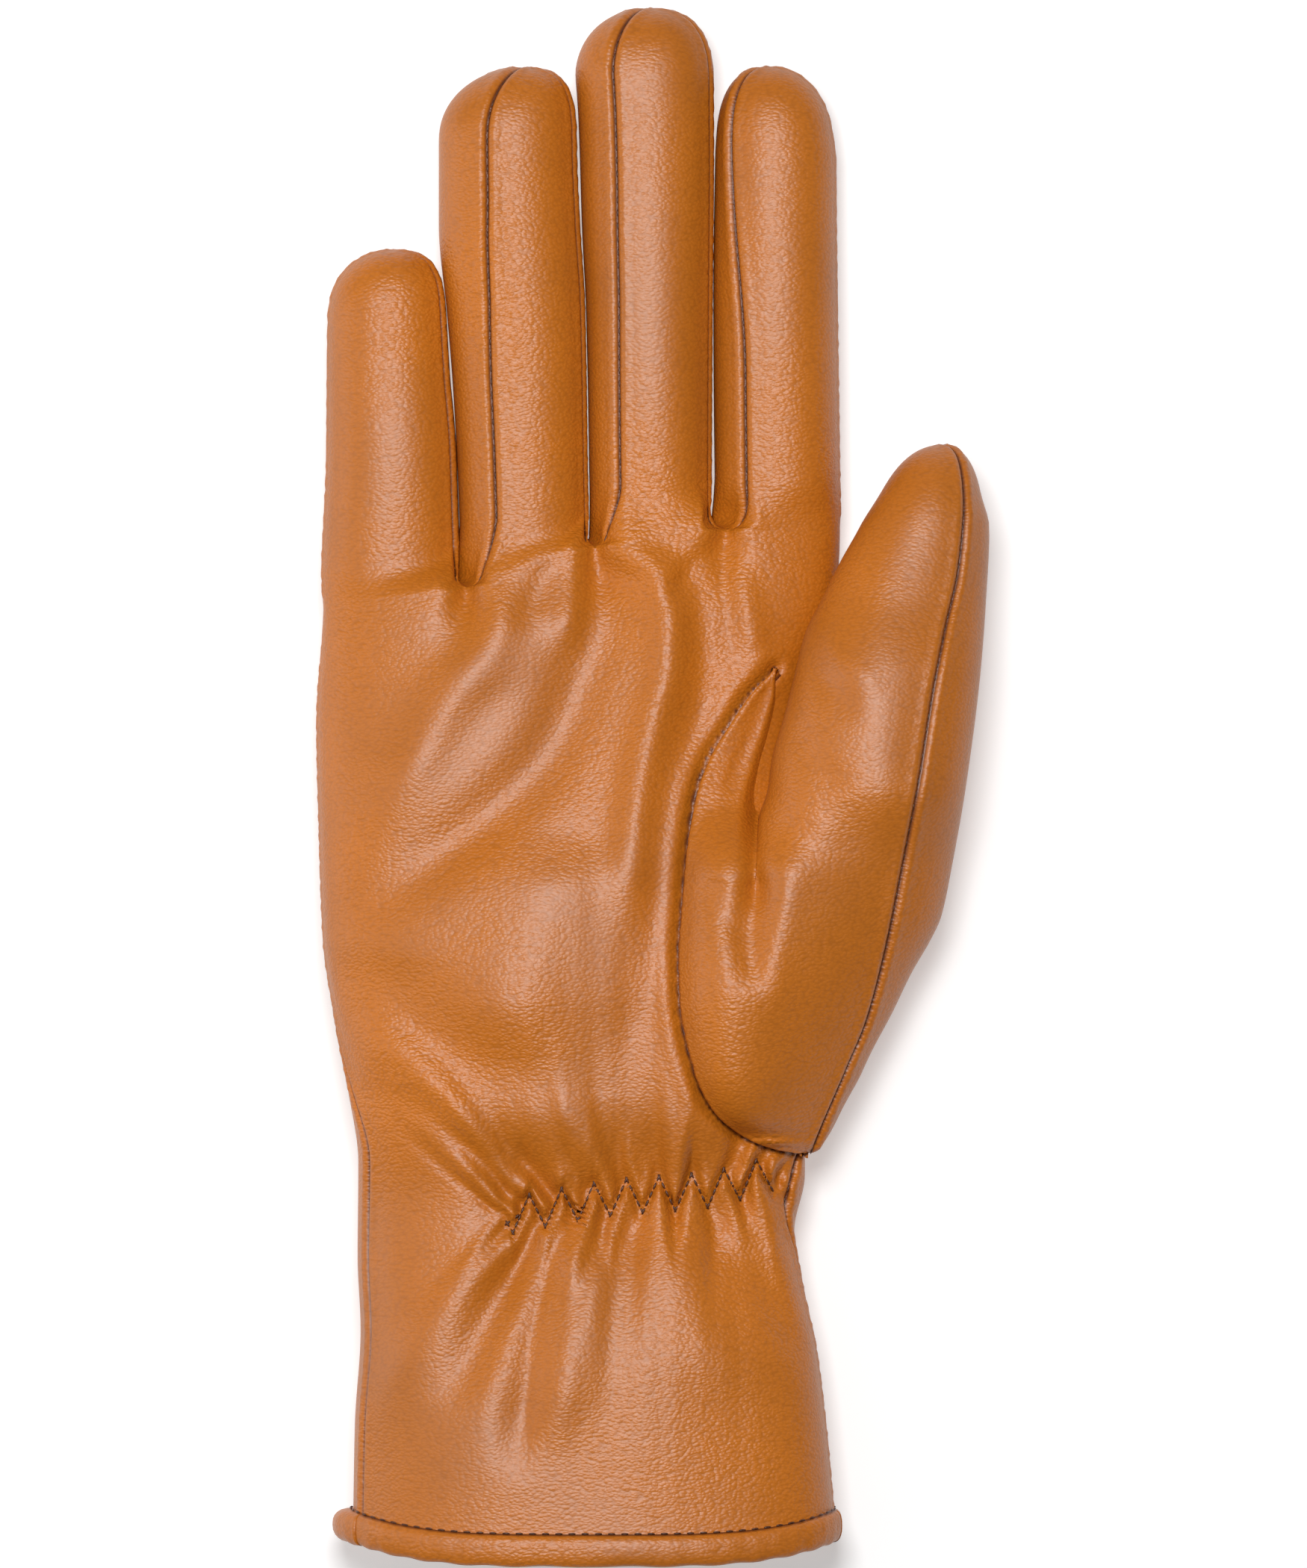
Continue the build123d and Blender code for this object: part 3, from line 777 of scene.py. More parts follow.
def shell_object(name, panels, material, thickness, inset=0.0, smoothed=False, thin=1):
    """Panels as one closed object: an outside, an inside under it, and its cut edges."""
    points, normals, rests, seams, faces, groups = [], [], [], [], [], []
    offset = 0
    for p in panels:
        rows = np.unique(np.append(np.arange(0, p.grid.shape[0], thin), p.grid.shape[0] - 1))
        cols = np.unique(np.append(np.arange(0, p.grid.shape[1], thin), p.grid.shape[1] - 1))
        pick = np.ix_(rows, cols)
        grid = (getattr(p, "plain", p.rest) if smoothed else p.grid)[pick]
        normal = p.normal[pick]
        r, c = grid.shape[:2]
        count = r * c
        inward = getattr(p, "smooth_normal", p.normal)[pick]
        outside = grid - inward * inset
        inside = grid - inward * (inset + thickness)
        points += [outside.reshape(-1, 3), inside.reshape(-1, 3)]
        normals += [normal.reshape(-1, 3), -normal.reshape(-1, 3)]
        rests += [p.rest[pick].reshape(-1, 3)] * 2
        seams += [p.seam[pick].reshape(-1)] * 2
        outer = grid_faces(r, c, offset, p.turn)
        inner = grid_faces(r, c, offset + count, -p.turn)
        rim = rim_faces(r, c, offset, offset + count, p.turn)
        faces += [outer, inner, rim]
        groups += [np.zeros(len(outer)), np.ones(len(inner)), np.full(len(rim), 2)]
        offset += 2 * count
    points, normals = np.concatenate(points), np.concatenate(normals)
    rests, seams = np.concatenate(rests), np.concatenate(seams)
    places, first, kept, kinds = merged(
        points, np.concatenate(faces), np.concatenate(groups).astype(int))
    if len(panels) > 1:
        # Panels joined in one piece have no cut edge between them.
        seen = {}
        for i, face in enumerate(kept):
            if kinds[i] == 2:
                seen.setdefault(frozenset(face), []).append(i)
        doubled = {i for same in seen.values() if len(same) > 1 for i in same}
        kept = [f for i, f in enumerate(kept) if i not in doubled]
        kinds = [k for i, k in enumerate(kinds) if i not in doubled]
    mesh = bpy.data.meshes.new(name)
    mesh.from_pydata((places * MM).tolist(), [], kept)
    mesh.update()
    vertex, edge = np.empty((2, len(mesh.loops)), int)
    mesh.loops.foreach_get("vertex_index", vertex)
    mesh.loops.foreach_get("edge_index", edge)
    corners = np.empty(len(mesh.polygons), int)
    mesh.polygons.foreach_get("loop_total", corners)
    kind = np.repeat(np.array(kinds), corners)
    lowest = np.full(len(mesh.edges), 9)
    highest = np.full(len(mesh.edges), -1)
    np.minimum.at(lowest, edge, kind)
    np.maximum.at(highest, edge, kind)
    sharp = mesh.attributes.new("sharp_edge", "BOOLEAN", "EDGE")
    sharp.data.foreach_set("value", lowest != highest)
    store(mesh, "rest", rests[first] * MM)
    # The seam mask, which sets where the leather gets painted shade in its seam grooves.
    store(mesh, "seam", seams[first])
    mesh.polygons.foreach_set("use_smooth", np.ones(len(mesh.polygons), bool))
    corner = np.where((kind < 2)[:, None], normals[first][vertex], 0.0)
    mesh.normals_split_custom_set(corner.tolist())
    mesh.materials.append(material)
    return put(name, mesh)


def line_object(name, lines):
    """Polylines in millimetres, as one curve object of straight splines."""
    curve = bpy.data.curves.new(name, "CURVE")
    curve.dimensions = "3D"
    for line in lines:
        spline = curve.splines.new("POLY")
        spline.points.add(len(line) - 1)
        spline.points.foreach_set(
            "co", np.column_stack([line * MM, np.ones(len(line))]).astype(np.float32).reshape(-1))
    return put(name, curve)


def stitch_tree(thread):
    """Stitches along a line: one short rounded thread at every step of it."""
    tree = bpy.data.node_groups.new("Stitches", "GeometryNodeTree")
    face = tree.interface
    face.new_socket("Line", in_out="INPUT", socket_type="NodeSocketGeometry")
    for label, value in (("Pitch", 0.002), ("Length", 0.0013), ("Thickness", 0.00018)):
        socket = face.new_socket(label, in_out="INPUT", socket_type="NodeSocketFloat")
        socket.default_value = value
        socket.min_value = 0.00001
    face.new_socket("Stitches", in_out="OUTPUT", socket_type="NodeSocketGeometry")
    given = add(tree, "NodeGroupInput").outputs
    steps = add(tree, "GeometryNodeResampleCurve",
                {"Curve": given["Line"], "Length": given["Pitch"]}, mode="LENGTH")
    bead = add(tree, "GeometryNodeMeshUVSphere", {"Segments": 6, "Rings": 5, "Radius": 1.0})
    half = add(tree, "ShaderNodeMath", {0: given["Length"], 1: 0.5}, operation="MULTIPLY")
    size = add(tree, "ShaderNodeCombineXYZ",
               {"X": given["Thickness"], "Y": given["Thickness"], "Z": half.outputs[0]})
    tangent = add(tree, "GeometryNodeInputTangent")
    turn = add(tree, "FunctionNodeAlignRotationToVector", {"Vector": tangent.outputs[0]}, axis="Z")
    beads = add(tree, "GeometryNodeInstanceOnPoints", {
        "Points": steps.outputs["Curve"], "Instance": bead.outputs["Mesh"],
        "Rotation": turn.outputs["Rotation"], "Scale": size.outputs["Vector"]})
    whole = add(tree, "GeometryNodeRealizeInstances", {"Geometry": beads.outputs["Instances"]})
    finish = add(tree, "GeometryNodeSetMaterial",
                 {"Geometry": whole.outputs["Geometry"], "Material": thread})
    add(tree, "NodeGroupOutput", {"Stitches": finish.outputs["Geometry"]})
    return tree


def stitches(name, lines, pitch, length, thickness):
    """Sews stitches along lines and returns them as one plain mesh object."""
    thread = bpy.data.materials["sewing_thread"]
    tree = bpy.data.node_groups.get("Stitches") or stitch_tree(thread)
    guide = line_object(name + "_guide", lines)
    modifier = guide.modifiers.new("Stitches", "NODES")
    modifier.node_group = tree
    values = {"Pitch": pitch, "Length": length, "Thickness": thickness}
    for item in tree.interface.items_tree:
        if item.item_type == "SOCKET" and item.in_out == "INPUT" and item.name in values:
            modifier[item.identifier] = values[item.name] * MM
    bpy.context.view_layer.update()
    ready = guide.evaluated_get(bpy.context.evaluated_depsgraph_get())
    mesh = bpy.data.meshes.new_from_object(ready)
    mesh.name = name
    mesh.polygons.foreach_set("use_smooth", np.ones(len(mesh.polygons), bool))
    if not mesh.materials:
        mesh.materials.append(thread)
    guide_curve = guide.data
    bpy.data.objects.remove(guide)
    bpy.data.curves.remove(guide_curve)
    return put(name, mesh)


def seam_line(panel, column, lift, first=0, last=None):
    """A line in the bottom of a seam, a little above the leather."""
    rows = slice(first, last)
    return panel.grid[rows, column] + panel.normal[rows, column] * lift


# ------------------------------------------------------------------ finishes
def add(tree, kind, inputs=None, **settings):
    """A new node; each of its inputs gets a constant, or the output that feeds it."""
    node = tree.nodes.new(kind)
    for key, value in settings.items():
        setattr(node, key, value)
    feed(tree, node, inputs or {})
    return node


def feed(tree, node, inputs):
    for key, value in inputs.items():
        if isinstance(value, bpy.types.NodeSocket):
            tree.links.new(value, node.inputs[key])
        else:
            node.inputs[key].default_value = value


def ramp(tree, value, stops):
    """The colour that a value has on a ramp between (place, colour) stops."""
    node = add(tree, "ShaderNodeValToRGB", {"Fac": value})
    line = node.color_ramp
    while len(line.elements) < len(stops):
        line.elements.new(0.5)
    for element, (at, colour) in zip(line.elements, stops):
        element.position = at
        element.color = (*colour, 1)
    return node.outputs["Color"]


def grey(value):
    return (value, value, value)


def tinted(colour, share):
    return tuple(min(1, channel * share) for channel in colour)


def bumped(tree, height, strength, distance):
    """The direction of a surface that is raised by a height."""
    bump = add(tree, "ShaderNodeBump",
               {"Strength": strength, "Distance": distance, "Height": height})
    return bump.outputs["Normal"]


def new_finish(name):
    material = bpy.data.materials.new(name)
    material.use_nodes = True
    tree = material.node_tree
    return tree, tree.nodes["Principled BSDF"]


def rest_place(tree):
    """Where each point of the leather lay before the seams were pressed in."""
    return add(tree, "ShaderNodeAttribute", attribute_name="rest").outputs["Vector"]


def leather_finish(tint, deep):
    """Smooth fine-grained leather: pebbled grain, uneven tone, and painted shade in the seam
    grooves.
    """
    tree, shader = new_finish("cognac_leather")
    place = rest_place(tree)
    warp = add(tree, "ShaderNodeTexNoise", {"Vector": place, "Scale": 420, "Detail": 2})
    shift = add(tree, "ShaderNodeVectorMath",
                {0: warp.outputs["Color"], 1: (0.0007, 0.0007, 0.0007), 2: place},
                operation="MULTIPLY_ADD")
    squeeze = add(tree, "ShaderNodeMapping", {
        "Vector": shift.outputs["Vector"], "Rotation": (0, 0, radians(-14)),
        "Scale": (0.72, 1.25, 0.9)})
    stretched = squeeze.outputs["Vector"]
    grain = add(tree, "ShaderNodeTexVoronoi",
                {"Vector": stretched, "Scale": 1850, "Smoothness": 0.35}, feature="SMOOTH_F1")
    pebbles = grain.outputs["Distance"]
    coarse = add(tree, "ShaderNodeTexNoise",
                 {"Vector": stretched, "Scale": 1900, "Detail": 3, "Roughness": 0.55})
    pits = coarse.outputs["Fac"]
    uneven = add(tree, "ShaderNodeTexNoise", {"Vector": place, "Scale": 34, "Detail": 3})
    patches = uneven.outputs["Fac"]
    strength = ramp(tree, patches, ((0.35, grey(0.35)), (0.68, grey(1.0))))
    mixed = add(tree, "ShaderNodeMath", {0: pebbles, 1: -2.2, 2: pits},
                operation="MULTIPLY_ADD")
    height = add(tree, "ShaderNodeMath", {0: mixed.outputs[0], 1: strength},
                 operation="MULTIPLY")

    tone = ramp(tree, patches, ((0.3, tinted(tint, 0.86)), (0.7, tinted(tint, 1.1))))
    pores = ramp(tree, pebbles, ((0.35, grey(1.0)), (0.85, grey(0.72))))
    grained = add(tree, "ShaderNodeMix", {"Factor": 0.55, "A": tone, "B": pores},
                  data_type="RGBA", blend_type="MULTIPLY")
    # Painted shade: the leather is darkened towards the seam colour at the bottom of each seam
    # groove, where shade falls.
    seam = add(tree, "ShaderNodeAttribute", attribute_name="seam")
    edge = ramp(tree, seam.outputs["Fac"], ((0.35, grey(0.0)), (0.85, grey(1.0))))
    colour = add(tree, "ShaderNodeMix",
                 {"Factor": edge, "A": grained.outputs["Result"], "B": (*deep, 1)},
                 data_type="RGBA")
    feed(tree, shader, {
        "Base Color": colour.outputs["Result"],
        "Roughness": ramp(tree, pits, ((0.2, grey(0.42)), (0.9, grey(0.49)))),
        "Specular IOR Level": 0.56,
        "Normal": bumped(tree, height.outputs[0], 1.0, 0.00006)})


def knit_finish(name, light, dark, scale, shine=0.9, metallic=0.0):
    """A soft knit: small loops in rows with a brushed, uneven surface."""
    tree, shader = new_finish(name)
    place = rest_place(tree)
    rows = add(tree, "ShaderNodeTexWave",
               {"Vector": place, "Scale": scale, "Distortion": 1.4, "Detail": 2},
               wave_type="BANDS", bands_direction="Y")
    ribs = add(tree, "ShaderNodeTexWave",
               {"Vector": place, "Scale": scale * 1.3, "Distortion": 1.2},
               wave_type="BANDS", bands_direction="X")
    fluff = add(tree, "ShaderNodeTexNoise", {"Vector": place, "Scale": scale * 9, "Detail": 4})
    loops = add(tree, "ShaderNodeMath", {0: rows.outputs["Fac"], 1: ribs.outputs["Fac"]},
                operation="MULTIPLY")
    height = add(tree, "ShaderNodeMath", {0: loops.outputs[0], 1: fluff.outputs["Fac"]},
                 operation="ADD").outputs[0]
    feed(tree, shader, {
        "Base Color": ramp(tree, height, ((0.3, dark), (1.1, light))),
        "Roughness": shine, "Metallic": metallic,
        "Normal": bumped(tree, height, 0.7, 0.0004)})


def thread_finish(tint):
    """Waxed twisted thread, darker where its strands meet."""
    tree, shader = new_finish("sewing_thread")
    place = add(tree, "ShaderNodeTexCoord").outputs["Object"]
    noise = add(tree, "ShaderNodeTexNoise", {"Vector": place, "Scale": 2600, "Detail": 3})
    twist = noise.outputs["Fac"]
    feed(tree, shader, {
        "Base Color": ramp(tree, twist, ((0.3, tinted(tint, 0.55)), (0.75, tinted(tint, 1.5)))),
        "Roughness": 0.45,
        "Normal": bumped(tree, twist, 0.5, 0.0001)})


# ------------------------------------------------------------------ the cut glove
cut = {}


def cut_leather():
    """Cuts and sews every leather panel once, and keeps them for all the pieces."""
    columns = hand_columns()
    palm = np.concatenate([palm[:-1] for _, palm, _ in columns.values()] + [[180.0]])
    back = np.concatenate([back[:-1] for _, _, back in columns.values()] + [[-180.0]])
    panels = {
        "palm": hand_panel(palm, PALM_ROUND, 1),
        "back": hand_panel(back, BACK_ROUND, -1),
    }
    first = 0
    for name, (shares, _, _) in columns.items():
        across = slice(first, first + len(shares))
        palm_base, back_base = (panels[side].rest[-1, across] for side in ("palm", "back"))
        step = palm_base - panels["palm"].rest[-2, across]
        slope = step[:, 2] / step[:, 1]
        first += len(shares) - 1
        made = finger_panels(FINGERS[name], palm_base, back_base, shares, slope)
        panels.update({f"{name}_{piece}": panel for piece, panel in made.items()})
    front, under, tongue = thumb_panels()
    panels.update({"thumb_palm_side": front, "thumb_back": under, "thumb_tongue": tongue})
    sew(list(panels.values()))
    cut.update(panels)


def leather():
    return bpy.data.materials["cognac_leather"]


def lining_object(name, panels):
    """The knitted lining that hangs inside leather panels, without their seams."""
    return shell_object(name, panels, bpy.data.materials["lining_knit"], 0.8, inset=1.7,
                        smoothed=True, thin=3)


def bend_with(piece):
    """Bakes a finger's piece's placement into its mesh."""
    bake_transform(piece)


def bend_with_thumb(piece):
    """Bakes a thumb's piece's placement into its mesh."""
    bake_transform(piece)


STRIP_NODES = {
    "little_right_strip": "little_right_fourchette",
    "ring_left_strip": "ring_left_fourchette", "ring_right_strip": "ring_right_fourchette",
    "middle_left_strip": "middle_left_fourchette",
    "middle_right_strip": "middle_right_fourchette",
    "index_left_strip": "index_left_fourchette",
}
SLITS = (
    ("little_ring", "little_right_strip", "ring_left_strip"),
    ("ring_middle", "ring_right_strip", "middle_left_strip"),
    ("middle_index", "middle_right_strip", "index_left_strip"),
)


def hem_frame(angle):
    """Points on the hem and the directions out of it, for angles round the hand."""
    step = 0.5
    y = hem_line(angle)
    a, b = hand_point(wrap(angle - step), y, False), hand_point(wrap(angle + step), y, False)
    along = b - a
    along /= np.linalg.norm(along, axis=-1, keepdims=True)
    out = np.stack([along[..., 2], 0 * y, -along[..., 0]], -1)
    return hand_point(wrap(angle), y), out


FLARE_AT = 184          # the angle at which the binding's overlap stands out


def binding_grid(start, end, proud, height, flare):
    """Rings of points of the rolled binding, and how deep each is in its seam, as a mask of
    painted shade.
    """
    angle = start + (end - start) * np.linspace(0, 1, int(abs(end - start) / 1.0) + 2)
    point, out = hem_frame(angle)
    turn = np.linspace(0, 2 * pi, 25)[:-1]
    swell = 1 + 0.035 * np.sin(angle * 0.31) + 0.025 * np.sin(angle * 0.83 + 1)
    bulge = flare * bell((angle - FLARE_AT) / 15)
    reach = (proud * swell + bulge)[:, None]
    across = power(np.cos(turn), 0.8)[None]
    down = power(np.sin(turn), 0.8)[None]
    depth = np.where(across > 0, across * reach, across * 1.9)
    drop = height / 2 * (1 - down) * (1 + 0.02 * np.sin(angle * 0.5))[:, None]
    grid = point[:, None] + out[:, None] * depth[..., None]
    grid[..., 1] -= drop
    pinch = groove(np.hypot(depth - 0.5, drop), depth=0.45, roll=0.0)
    # Painted shade in the pinched groove of the binding's seam.
    seam = bell(np.hypot(depth - 0.4, drop - 0.2) / 0.5)
    return grid + out[:, None] * pinch[..., None], seam


def closed_tube(name, grid, seam, material):
    """A tube through rings of points, closed at both ends."""
    rings, count = grid.shape[:2]
    index = np.arange(rings * count).reshape(rings, count)
    a, b = index[:-1], np.roll(index, -1, axis=1)[:-1]
    c, d = np.roll(index, -1, axis=1)[1:], index[1:]
    faces = np.stack([a, b, c, d], -1).reshape(-1, 4).tolist()
    faces += [index[0][::-1].tolist(), index[-1].tolist()]
    mesh = bpy.data.meshes.new(name)
    mesh.from_pydata((grid.reshape(-1, 3) * MM).tolist(), [], faces)
    mesh.update()
    if mesh_volume(mesh) < 0:
        mesh.flip_normals()
    mesh.polygons.foreach_set("use_smooth", np.ones(len(mesh.polygons), bool))
    store(mesh, "rest", grid.reshape(-1, 3) * MM)
    # The seam mask, which sets where the binding gets painted shade in its seam groove.
    store(mesh, "seam", seam.reshape(-1))
    mesh.materials.append(material)
    return put(name, mesh)


def mesh_volume(mesh):
    """The signed volume inside a closed mesh, below zero where its faces point inwards."""
    mesh.calc_loop_triangles()
    corner = np.empty(len(mesh.loop_triangles) * 3, int)
    mesh.loop_triangles.foreach_get("vertices", corner)
    places = np.empty(len(mesh.vertices) * 3)
    mesh.vertices.foreach_get("co", places)
    a, b, c = places.reshape(-1, 3)[corner.reshape(-1, 3)].transpose(1, 0, 2)
    return float(np.einsum("ij,ij->i", a, np.cross(b, c)).sum() / 6)


# ------------------------------------------------------------------ settings
class GloveLooks(bpy.types.PropertyGroup):
    leather_colour: FloatVectorProperty(
        name="Leather", description="Colour of the leather", subtype="COLOR", size=3,
        min=0, max=1, default=(0.51, 0.144, 0.006))
    # Colour of the painted shade at the bottom of the seam grooves.
    seam_shade_colour: FloatVectorProperty(
        name="Seam", description="Colour deep in the seams", subtype="COLOR", size=3,
        min=0, max=1, default=(0.13, 0.032, 0.008))
    thread_colour: FloatVectorProperty(
        name="Thread", description="Colour of the sewing thread", subtype="COLOR", size=3,
        min=0, max=1, default=(0.085, 0.026, 0.010))
    lining_colour: FloatVectorProperty(
        name="Lining", description="Colour of the knitted lining", subtype="COLOR", size=3,
        min=0, max=1, default=(0.30, 0.24, 0.18))


class GloveSizes(bpy.types.PropertyGroup):
    leather_thickness: FloatProperty(
        name="Leather thickness", description="Thickness of the outer leather", unit="LENGTH",
        default=0.0009, min=0.0004, max=0.002)
    stitch_pitch: FloatProperty(
        name="Stitch pitch", description="Distance from one seam stitch to the next",
        unit="LENGTH", default=0.0021, min=0.001, max=0.005)
    zigzag_pitch: FloatProperty(
        name="Zigzag stitch", description="Distance between the short stitches of the zigzag",
        unit="LENGTH", default=0.00122, min=0.0008, max=0.004)
    binding_height: FloatProperty(
        name="Binding height", description="Height of the hem's binding", unit="LENGTH",
        default=0.0052, min=0.003, max=0.01)
    binding_proud: FloatProperty(
        name="Binding bulge", description="How far the binding stands out of the cuff",
        unit="LENGTH", default=0.0014, min=0.0005, max=0.003)


def looks():
    return bpy.context.scene.glove_looks


def sizes():
    return bpy.context.scene.glove_sizes


# ------------------------------------------------------------------ operators
class GLOVE_OT_finishes(bpy.types.Operator):
    """Mixes the finishes of leather, thread, lining, elastic and conductive knit"""

    bl_idname = "glove.finishes"
    bl_label = "Finishes"

    def execute(self, context):
        look = looks()
        leather_finish(tuple(look.leather_colour), tuple(look.seam_shade_colour))
        thread_finish(tuple(look.thread_colour))
        tint = np.array(look.lining_colour)
        knit_finish("lining_knit", tuple(tint * 1.3), tuple(tint * 0.5), 520)
        knit_finish("elastic_band", (0.80, 0.76, 0.66), (0.5, 0.46, 0.38), 900, shine=0.7)
        knit_finish("conductive_knit", (0.42, 0.43, 0.46), (0.12, 0.12, 0.13), 1100,
                    shine=0.45, metallic=0.6)
        return {"FINISHED"}


class GLOVE_OT_hand(bpy.types.Operator):
    """Cuts the palm, the back and the bottoms of the slits between the fingers"""

    bl_idname = "glove.hand"
    bl_label = "Palm and back"

    def execute(self, context):
        cut_leather()
        thick = sizes().leather_thickness / MM
        for side, node in (("palm", "palm_panel"), ("back", "back_panel")):
            piece = shell_object(f"leather_{side}", [cut[side]], leather(), thick)
            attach(piece, "hand")
            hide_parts(node)
        for slit, lower, upper in SLITS:
            ends = [cut[strip].part(0, WEB_ROWS + 1) for strip in (lower, upper)]
            piece = shell_object(f"slit_bottom_{slit}", ends, leather(), thick)
            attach(piece, "hand")
            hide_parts(f"fourchette_bottom_{slit}")
        return {"FINISHED"}


class GLOVE_OT_fingers(bpy.types.Operator):
    """Sews the palm side, back and side strips of each finger"""

    bl_idname = "glove.fingers"
    bl_label = "Fingers"

    def execute(self, context):
        thick = sizes().leather_thickness / MM
        for name, f in FINGERS.items():
            for side in ("palm_side", "back"):
                piece = shell_object(f"leather_{name}_{side}", [cut[f"{name}_{side}"]],
                                     leather(), thick)
                bend_with(piece)
                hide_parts(f"{name}_{side}")
        for strip, node in STRIP_NODES.items():
            f = FINGERS[strip.split("_")[0]]
            panel = cut[strip].part(WEB_ROWS, None)
            name = strip.removesuffix("_strip")
            piece = shell_object(f"side_strip_{name}", [panel], leather(), thick)
            bend_with(piece)
            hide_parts(node)
        return {"FINISHED"}


class GLOVE_OT_thumb(bpy.types.Operator):
    """Sews the set-in thumb and its small tongue"""

    bl_idname = "glove.thumb"
    bl_label = "Thumb"

    def execute(self, context):
        thick = sizes().leather_thickness / MM
        for side in ("palm_side", "back"):
            piece = shell_object(f"leather_thumb_{side}", [cut[f"thumb_{side}"]], leather(), thick)
            bend_with_thumb(piece)
            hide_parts(f"thumb_{side}", f"thumb_base_{side}")
        piece = shell_object("leather_thumb_tongue", [cut["thumb_tongue"]], leather(), thick)
        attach(piece, "hand")
        return {"FINISHED"}


class GLOVE_OT_hem(bpy.types.Operator):
    """Rolls the binding round the hem, in two halves that join at the left"""

    bl_idname = "glove.hem"
    bl_label = "Hem binding"

    def execute(self, context):
        size = sizes()
        proud, height = size.binding_proud / MM, size.binding_height / MM
        for name, start, end, extra, flare in (
                ("palm", 4.0, 162.0, 0.0, 0.0), ("back", 161.0, 365.0, 0.12, 1.9)):
            grid, seam = binding_grid(start, end, proud + extra, height + extra, flare)
            piece = closed_tube(f"hem_binding_{name}_half", grid, seam, leather())
            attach(piece, "hand")
            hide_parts(f"hem_binding_{name}")
        return {"FINISHED"}


class GLOVE_OT_wrist(bpy.types.Operator):
    """Lays the elastic under the wrist and sews the zigzag that holds it"""

    bl_idname = "glove.wrist"
    bl_label = "Elastic and zigzag"

    def execute(self, context):
        corners = []
        for i in range(2 * ZIG_TEETH + 1):
            x = ZIG_START + i * PITCH / 2
            side = 0.5 if i % 2 else -0.5
            corners.append((x, float(zig_middle(x)) + side * ZIG_HEIGHT))
        # The sewing begins with a small hook at the first corner.
        hook = (ZIG_START - 0.9, corners[0][1] + 1.5)
        hook_end = (ZIG_START + 0.6, corners[0][1] + 2.6)
        runs = list(zip(corners, corners[1:])) + [(corners[0], hook), (hook, hook_end)]
        lines = []
        for start, end in runs:
            t = np.linspace(0.03, 0.97, 12)
            x = start[0] + (end[0] - start[0]) * t
            y = start[1] + (end[1] - start[1]) * t
            shifts = (-0.4, 0, 0.4)
            nearby = [palm_relief(x + dx, y + dy) for dx in shifts for dy in shifts]
            lines.append(np.column_stack([x, y, palm_top(x, y) + np.mean(nearby, 0) + 0.2]))
        piece = stitches("zigzag_stitching", lines, sizes().zigzag_pitch / MM, 1.2, 0.21)
        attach(piece, "hand")
        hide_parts("wrist_zigzag_thread")

        x = np.linspace(ZIG_END, ZIG_START, 110)[None]
        y = zig_middle(x) + np.linspace(-3.0, 3.0, 15)[:, None]
        valleys = np.stack([palm_relief(x + shift, y) for shift in (-1.2, -0.6, 0, 0.6, 1.2)])
        z = palm_top(x, y) + valleys.min(0) - 0.25
        band = Panel(np.stack(np.broadcast_arrays(x, y, z), -1), 1, (False, False), 0)
        share_normals([band])
        piece = shell_object("wrist_elastic_band", [band], bpy.data.materials["elastic_band"],
                             0.45, inset=1.05)
        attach(piece, "hand")
        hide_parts("wrist_elastic")
        return {"FINISHED"}


class GLOVE_OT_linings(bpy.types.Operator):
    """Hangs the knitted lining in the hand, the fingers and the thumb"""

    bl_idname = "glove.linings"
    bl_label = "Linings"

    def execute(self, context):
        piece = lining_object("lining_of_hand", [cut["palm"], cut["back"]])
        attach(piece, "hand")
        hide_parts("hand_lining")
        for name, f in FINGERS.items():
            sides = [p for key, p in cut.items() if key.startswith(name + "_")]
            piece = lining_object(f"lining_of_{name}", sides)
            bend_with(piece)
            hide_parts(f"{name}_lining")
        sides = [cut[f"thumb_{side}"].part(6, -1) for side in ("palm_side", "back")]
        piece = lining_object("lining_of_thumb", sides)
        bend_with_thumb(piece)
        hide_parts("thumb_lining", "thumb_base_lining")
        return {"FINISHED"}


class GLOVE_OT_pads(bpy.types.Operator):
    """Sets the conductive pads under the tips of the index finger and the thumb"""

    bl_idname = "glove.pads"
    bl_label = "Conductive pads"

    def execute(self, context):
        for name, node in (("index", "index_conductive_pad"), ("thumb", "thumb_conductive_pad")):
            side = cut[f"{name}_palm_side"]
            rows, columns = side.grid.shape[:2]
            patch = side.part(rows - 34, rows - 8, columns // 5, -columns // 5)
            piece = shell_object(f"conductive_pad_{name}", [patch],
                                 bpy.data.materials["conductive_knit"], 0.3, inset=1.1,
                                 smoothed=True)
            if name == "index":
                bend_with(piece)
            else:
                bend_with_thumb(piece)
            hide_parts(node)
        return {"FINISHED"}


class GLOVE_OT_stitches(bpy.types.Operator):
    """Sews the stitches along every seam"""

    bl_idname = "glove.stitches"
    bl_label = "Seam stitches"

    def execute(self, context):
        pitch = sizes().stitch_pitch / MM
        length, radius, lift = 0.58 * pitch, 0.15, 0.10
        for name, f in FINGERS.items():
            lines = []
            for outermost, column in (("index", 0), ("little", -1)):
                if name != outermost:
                    lines += [seam_line(cut[f"{name}_{side}"], column, lift, 4, -3)
                              for side in ("palm_side", "back")]
            piece = stitches(f"stitches_{name}", lines, pitch, length, radius)
            bend_with(piece)
        piece = stitches("stitches_thumb", [seam_line(cut["thumb_palm_side"], 0, lift, 3, -3)],
                         pitch, length, radius)
        bend_with_thumb(piece)
        hole = seam_line(cut["thumb_tongue"], -1, lift, 3, -2)
        point, out = hem_frame(np.linspace(6, 354, 260))
        hem = point + out * 0.42 + np.array([0, 0.12, 0])
        lines = [hole, hem] + [seam_line(cut["palm"], column, lift, 3, 185) for column in (0, -1)]
        piece = stitches("stitches_hand", lines, pitch, length, 1.15 * radius)
        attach(piece, "hand")
        return {"FINISHED"}


